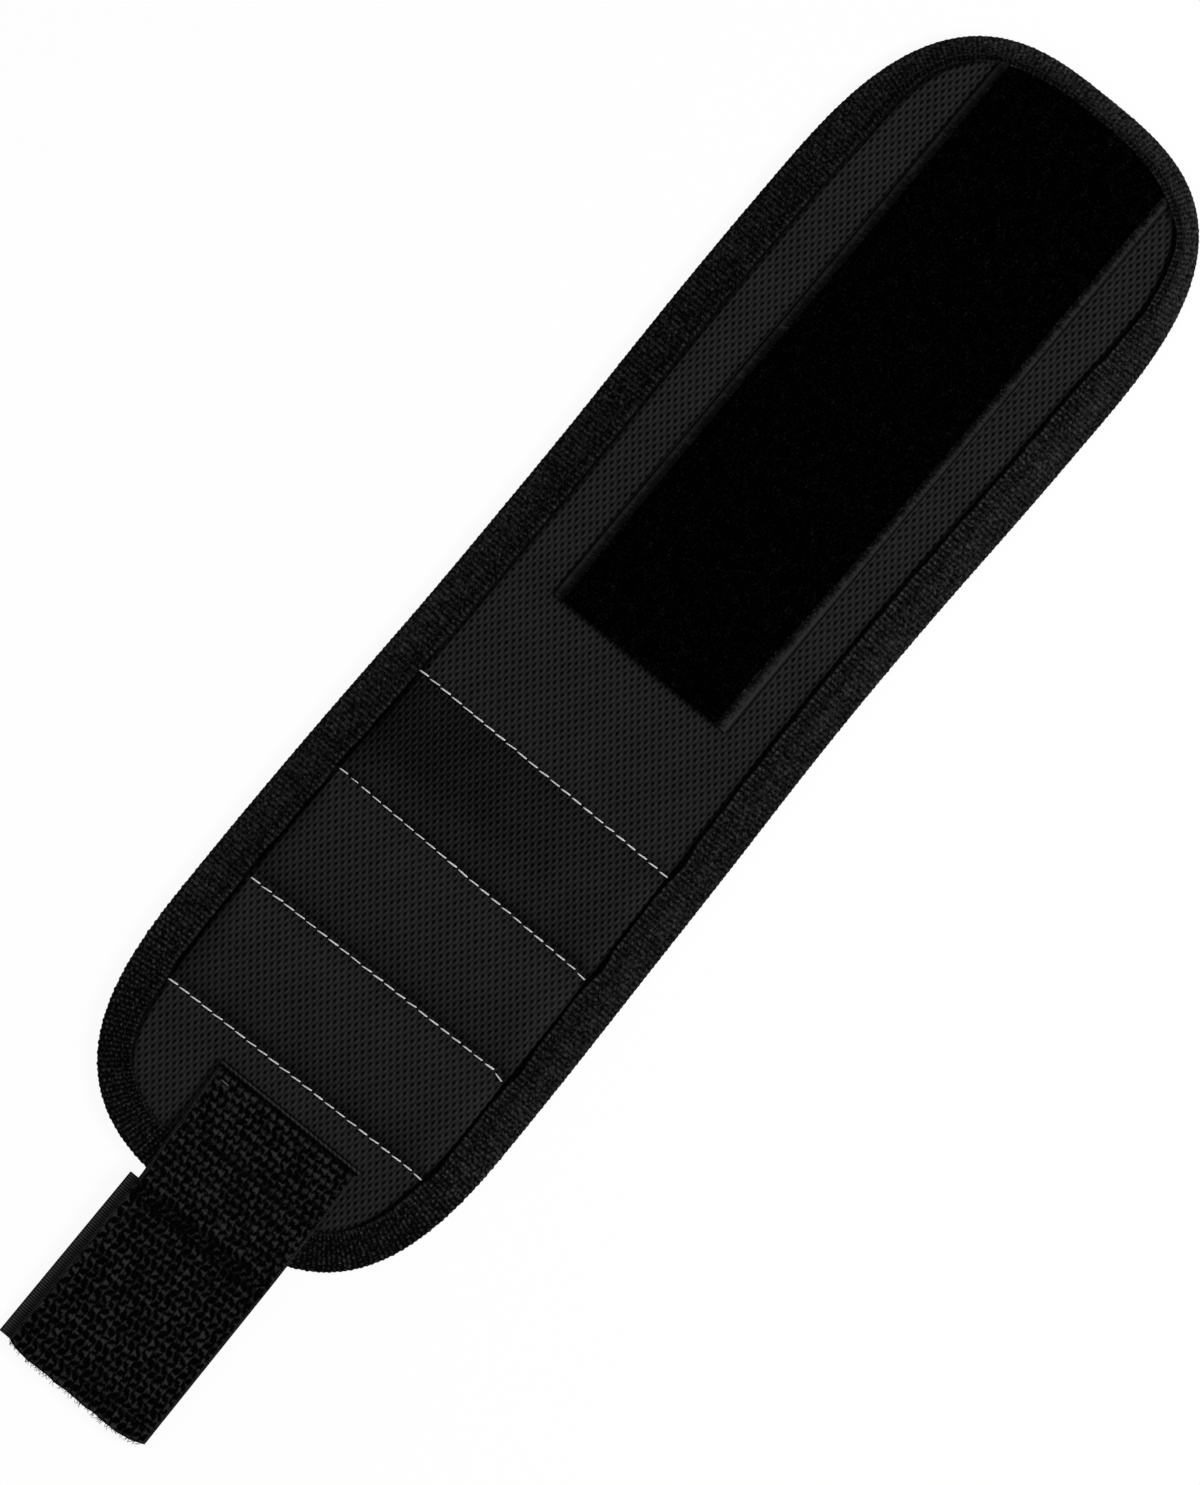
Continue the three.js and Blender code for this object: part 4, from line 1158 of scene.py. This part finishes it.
def make_elastic_fray(colours):
    """The frayed yarn ends of the elastic's cut: hairs that run on from it, swerve and droop with the square
    of the way."""
    hair = thread_finish("elastic_fray", shade(colours.elastic, 1.6), 0.15)
    chance = np.random.default_rng(23)
    count = 260
    y = chance.uniform(-ELASTIC_HALF, ELASTIC_HALF, count)
    rise = chance.uniform(-0.45, 0.35, count) * MM
    short = (ELASTIC_END - 0.5 * MM - cut_trim(y))[:, None]
    beside = np.stack([0 * y, elastic_place(ELASTIC_END, y), 0 * y], axis=-1)
    root = FOLD + short * TAIL_WAY + beside + rise[:, None] * TAIL_UP
    size = chance.uniform(0.5, 1.5, count) ** 2 * 0.75 * MM
    bow = chance.uniform(-0.7, 0.7, count) * size
    size, bow = size[:, None, None], bow[:, None, None]
    t = np.linspace(0, 1, 5)[None, :, None]
    swerve = bow * t**2 * np.array([0, 1.0, 0])
    droop = -0.25 * size * t**2 * TAIL_UP
    paths = root[:, None] + size * t * TAIL_WAY + swerve + droop
    thick = 0.07 * MM * np.array([1, 1, 0.9, 0.8, 0.5])[None]
    fray = tube_piece("elastic_fray", paths, thick, 4, hair)
    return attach(fray, "hook_tail")


def make_elastic(sizes, colours):
    """The elastic in two pieces that meet just past the fold: one from its sewn end, one along the tail; with
    their threads and the frayed cut."""
    finish = cloth_finish(
        "elastic_knit", colours.elastic, KNITTED, fibre=(2300, 3000), rough=0.9, glint=0.3)
    parts = (("elastic_sewn", ELASTIC_START, ELASTIC_JOIN), ("elastic_free", ELASTIC_JOIN, ELASTIC_END))
    sewn, free = (
        closed_piece(name, elastic_faces(low, high, sizes), finish)
        for name, low, high in parts)
    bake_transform(sewn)
    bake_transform(free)
    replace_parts(sewn, "elastic_anchor")
    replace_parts(free, "elastic_stretch", "elastic_tail")
    make_elastic_threads(sizes, colours)
    fray = make_elastic_fray(colours)


def tail_point(way, y, height):
    """Points on the tail by the way from the fold, y across the band and the height over the tail's middle
    line."""
    base = FOLD + way[..., None] * TAIL_WAY + height[..., None] * TAIL_UP
    base[..., 1] = y
    return base


def hook_paths(low_way, high_way, low_y, high_y, pitch):
    """Paths of the hooks in rows: each a stem down from the tape that bends over in a half circle, turned to
    the front and to the back by rows."""
    row = pitch * 0.9
    across = np.arange(low_y + 3.4 * MM, high_y - 3.2 * MM, row)
    along = np.arange(low_way + 1.2 * MM, high_way - 1.0 * MM, pitch)
    place_y, place_way = (part.ravel() for part in np.meshgrid(across, along))
    turned = np.where(np.round((place_y - across[0]) / row) % 2 == 0, 1.0, -1.0)
    t = np.linspace(0, 1, 9)
    bend = np.clip((t - 0.4) / 0.6, 0, 1) * np.pi * 1.15
    reach = 0.26 * MM * (1 - np.cos(bend))
    drop = -1.5 * MM - 0.62 * MM * np.clip(t / 0.4, 0, 1) - 0.26 * MM * np.sin(bend)
    ways = place_way[:, None] + turned[:, None] * reach
    return tail_point(ways, np.broadcast_to(place_y[:, None], ways.shape), np.broadcast_to(drop, ways.shape))


def make_hook_tape(sizes, colours):
    """The hook tape under the tail: a closed plate with ribs across its two selvedges, and the moulded hooks
    below."""
    finish = cloth_finish("hook_tape", shade(colours.selvedge, 1.1), PITTED, fibre=(2500, 2500))
    nylon = thread_finish("hook_nylon", colours.hook, 0.4)
    low_way, high_way = 1.4 * MM, 47.4 * MM
    low_y, high_y = HOOK_BOX[0].y, HOOK_BOX[1].y + 0.4 * MM
    rib_pitch, side = 0.62 * MM, 3 * MM
    way = lattice(low_way, high_way, rib_pitch / 5)[:, None]
    between = np.linspace(high_y - side, low_y + side, 10)[1:-1]
    y = np.concatenate([np.linspace(high_y, high_y - side, 9), between, np.linspace(low_y + side, low_y, 9)])
    from_side = np.minimum(y - low_y, high_y - y)
    rib = (0.5 + 0.5 * np.cos(2 * np.pi * way / rib_pitch)) * smoothstep(2.9 * MM, 2.5 * MM, from_side)
    rib = rib * smoothstep(0, 0.35 * MM, from_side)
    edge = 0.35 + 0.65 * smoothstep(0, 0.4 * MM, from_side)
    over = (-1.15 + 0.22 * edge) * MM + 0.14 * MM * rib
    under = (-1.35 - 0.22 * edge) * MM - 0.05 * MM * rib
    along, across = np.broadcast_arrays(way, y + 0.4 * MM * way / high_way)
    faces = [(tail_point(along, across, height), along, across, shown)
             for height, shown in ((over, 1.25 * rib - 0.1), (under, 0.2 + 0.6 * rib))]
    tape = closed_piece("hook_tape_base", faces, finish)
    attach(tape, "hook_tail")
    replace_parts(tape, "hook_tape")
    paths = hook_paths(low_way, high_way, low_y, high_y, sizes.hook_pitch)
    thick = np.linspace(0.15, 0.08, paths.shape[1])[None] * MM
    hooks = tube_piece("hook_tape_hooks", paths, thick, 4, nylon, lift=(0, 1, 0))
    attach(hooks, "hook_tail")


def finish_magnets(colours):
    """The magnets and their foam carriers keep their solids and get their finishes."""
    nickel = nickel_finish("magnet_nickel", colours.nickel)
    foam = foam_finish("carrier_foam", colours.foam)
    for name, node in frame["nodes"].items():
        if name.startswith("magnet_"):
            node.data.materials.clear()
            node.data.materials.append(foam if "carrier" in name else nickel)


def make_floor(colours):
    """A pale floor that shows white to the camera and still takes a shadow."""
    corners = np.array([[-1, -1, 0], [1, -1, 0], [1, 1, 0], [-1, 1, 0]]) * FLOOR_HALF - [0, 0, 0.1 * MM]
    material, tree, shader = new_finish("floor_paper")
    stops = [(0.3, shade(colours.floor, 0.93)), (0.7, colours.floor)]
    feed(tree, shader.inputs["Base Color"], ramp(tree, object_noise(tree, 400, 4.0), stops))
    shader.inputs["Roughness"].default_value = 0.9
    shader.inputs["Specular IOR Level"].default_value = 0.1
    rays = put(tree, "ShaderNodeLightPath").outputs
    seen = reckon(tree, "MAXIMUM", rays["Is Camera Ray"], rays["Is Glossy Ray"])
    seen = reckon(tree, "MAXIMUM", seen, rays["Is Transmission Ray"])
    glow = put(tree, "ShaderNodeEmission", Color=(*colours.floor, 1), Strength=1.0).outputs["Emission"]
    mixed = put(tree, "ShaderNodeMixShader", Fac=reckon(tree, "MULTIPLY", seen, 0.93))
    tree.links.new(shader.outputs["BSDF"], mixed.inputs[1])
    tree.links.new(glow, mixed.inputs[2])
    tree.links.new(mixed.outputs["Shader"], tree.nodes["Material Output"].inputs["Surface"])
    new_piece("floor", corners, np.array([[0, 1, 2, 3]]), material)


def make_stage(colours):
    """The floor, a soft key from the right of the view, a weak fill from the left, an even world, and a
    camera straight above."""
    scene = bpy.context.scene
    scene.view_settings.view_transform = "Standard"
    make_floor(colours)
    scene.world = bpy.data.worlds.new("studio")
    scene.world.use_nodes = True
    background = scene.world.node_tree.nodes["Background"].inputs
    background["Color"].default_value = (1, 1, 1, 1)
    background["Strength"].default_value = 0.36
    for name, bearing, height, width, power in LAMPS:
        lamp = bpy.data.lights.new(name, "AREA")
        lamp.energy = power
        lamp.shape = "DISK"
        lamp.size = width
        light = bpy.data.objects.new(name, lamp)
        way = np.radians(bearing)
        light.location = (LAMP_REACH * np.cos(way), LAMP_REACH * np.sin(way), height)
        light.rotation_euler = (0, np.arctan2(LAMP_REACH, height), way)
        scene.collection.objects.link(light)
    camera = bpy.data.objects.new("camera", bpy.data.cameras.new("camera"))
    camera.data.lens = 200
    camera.data.sensor_width = 36
    camera.data.clip_end = 20
    camera.location = CAMERA_PLACE
    camera.rotation_euler = (0, 0, VIEW_TURN)
    scene.collection.objects.link(camera)
    scene.camera = camera


# Add-on


def make_part(make, scene):
    """Makes a part from the scene's sizes and colours."""
    make(scene.wristband_sizes, scene.wristband_colours)
    return {"FINISHED"}


class WRISTBAND_OT_shell(bpy.types.Operator):
    """Weaves the outer shell over the pockets and the panel."""

    bl_idname = "wristband.shell"
    bl_label = "Weave Shell"
    bl_options = {"REGISTER", "UNDO"}

    def execute(self, context):
        return make_part(make_shell, context.scene)


class WRISTBAND_OT_lining(bpy.types.Operator):
    """Makes the mesh lining on the wrist side."""

    bl_idname = "wristband.lining"
    bl_label = "Make Lining"
    bl_options = {"REGISTER", "UNDO"}

    def execute(self, context):
        return make_part(make_lining, context.scene)


class WRISTBAND_OT_binding(bpy.types.Operator):
    """Folds the binding tape over the panel's edge."""

    bl_idname = "wristband.binding"
    bl_label = "Fold Binding"
    bl_options = {"REGISTER", "UNDO"}

    def execute(self, context):
        return make_part(make_binding, context.scene)


class WRISTBAND_OT_loop_tape(bpy.types.Operator):
    """Lays the loop tape with its pile and selvedges."""

    bl_idname = "wristband.loop_tape"
    bl_label = "Lay Loop Tape"
    bl_options = {"REGISTER", "UNDO"}

    def execute(self, context):
        return make_part(make_loop_tape, context.scene)


class WRISTBAND_OT_pocket_stitches(bpy.types.Operator):
    """Sews the white rows between the pockets."""

    bl_idname = "wristband.pocket_stitches"
    bl_label = "Sew Pockets"
    bl_options = {"REGISTER", "UNDO"}

    def execute(self, context):
        return make_part(make_pocket_stitches, context.scene)


class WRISTBAND_OT_seams(bpy.types.Operator):
    """Sews the black seams."""

    bl_idname = "wristband.seams"
    bl_label = "Sew Seams"
    bl_options = {"REGISTER", "UNDO"}

    def execute(self, context):
        return make_part(make_seams, context.scene)


class WRISTBAND_OT_elastic(bpy.types.Operator):
    """Knits the elastic from the panel to its frayed end."""

    bl_idname = "wristband.elastic"
    bl_label = "Knit Elastic"
    bl_options = {"REGISTER", "UNDO"}

    def execute(self, context):
        return make_part(make_elastic, context.scene)


class WRISTBAND_OT_hook_tape(bpy.types.Operator):
    """Makes the hook tape under the tail."""

    bl_idname = "wristband.hook_tape"
    bl_label = "Make Hook Tape"
    bl_options = {"REGISTER", "UNDO"}

    def execute(self, context):
        return make_part(make_hook_tape, context.scene)


class WRISTBAND_OT_magnets(bpy.types.Operator):
    """Finishes the magnets and their foam carriers."""

    bl_idname = "wristband.magnets"
    bl_label = "Finish Magnets"
    bl_options = {"REGISTER", "UNDO"}

    def execute(self, context):
        finish_magnets(context.scene.wristband_colours)
        return {"FINISHED"}


class WRISTBAND_OT_stage(bpy.types.Operator):
    """Sets up the floor, the lights and the camera."""

    bl_idname = "wristband.stage"
    bl_label = "Set Stage"
    bl_options = {"REGISTER", "UNDO"}

    def execute(self, context):
        make_stage(context.scene.wristband_colours)
        return {"FINISHED"}


OPERATORS = (
    WRISTBAND_OT_shell, WRISTBAND_OT_lining, WRISTBAND_OT_binding, WRISTBAND_OT_loop_tape,
    WRISTBAND_OT_pocket_stitches, WRISTBAND_OT_seams, WRISTBAND_OT_elastic, WRISTBAND_OT_hook_tape,
    WRISTBAND_OT_magnets, WRISTBAND_OT_stage,
)


class WRISTBAND_PT_parts(bpy.types.Panel):
    """Lists the wristband's operators and settings."""

    bl_idname = "WRISTBAND_PT_parts"
    bl_label = "Wristband"
    bl_space_type = "VIEW_3D"
    bl_region_type = "UI"
    bl_category = "Wristband"

    def draw(self, context):
        for operator in OPERATORS:
            self.layout.operator(operator.bl_idname)
        for group in (context.scene.wristband_sizes, context.scene.wristband_colours):
            column = self.layout.column()
            for name in group.__annotations__:
                column.prop(group, name)


CLASSES = (WristbandSizes, WristbandColours, *OPERATORS, WRISTBAND_PT_parts)


def register():
    """Adds the settings, operators and panel to Blender."""
    for item in CLASSES:
        bpy.utils.register_class(item)
    bpy.types.Scene.wristband_sizes = bpy.props.PointerProperty(type=WristbandSizes)
    bpy.types.Scene.wristband_colours = bpy.props.PointerProperty(type=WristbandColours)


def unregister():
    """Takes the settings, operators and panel out of Blender."""
    del bpy.types.Scene.wristband_colours
    del bpy.types.Scene.wristband_sizes
    for item in reversed(CLASSES):
        bpy.utils.unregister_class(item)


def main():
    """Makes every part in order."""
    register()
    for operator in OPERATORS:
        group, name = operator.bl_idname.split(".")
        getattr(getattr(bpy.ops, group), name)()


if __name__ == "__main__":
    main()
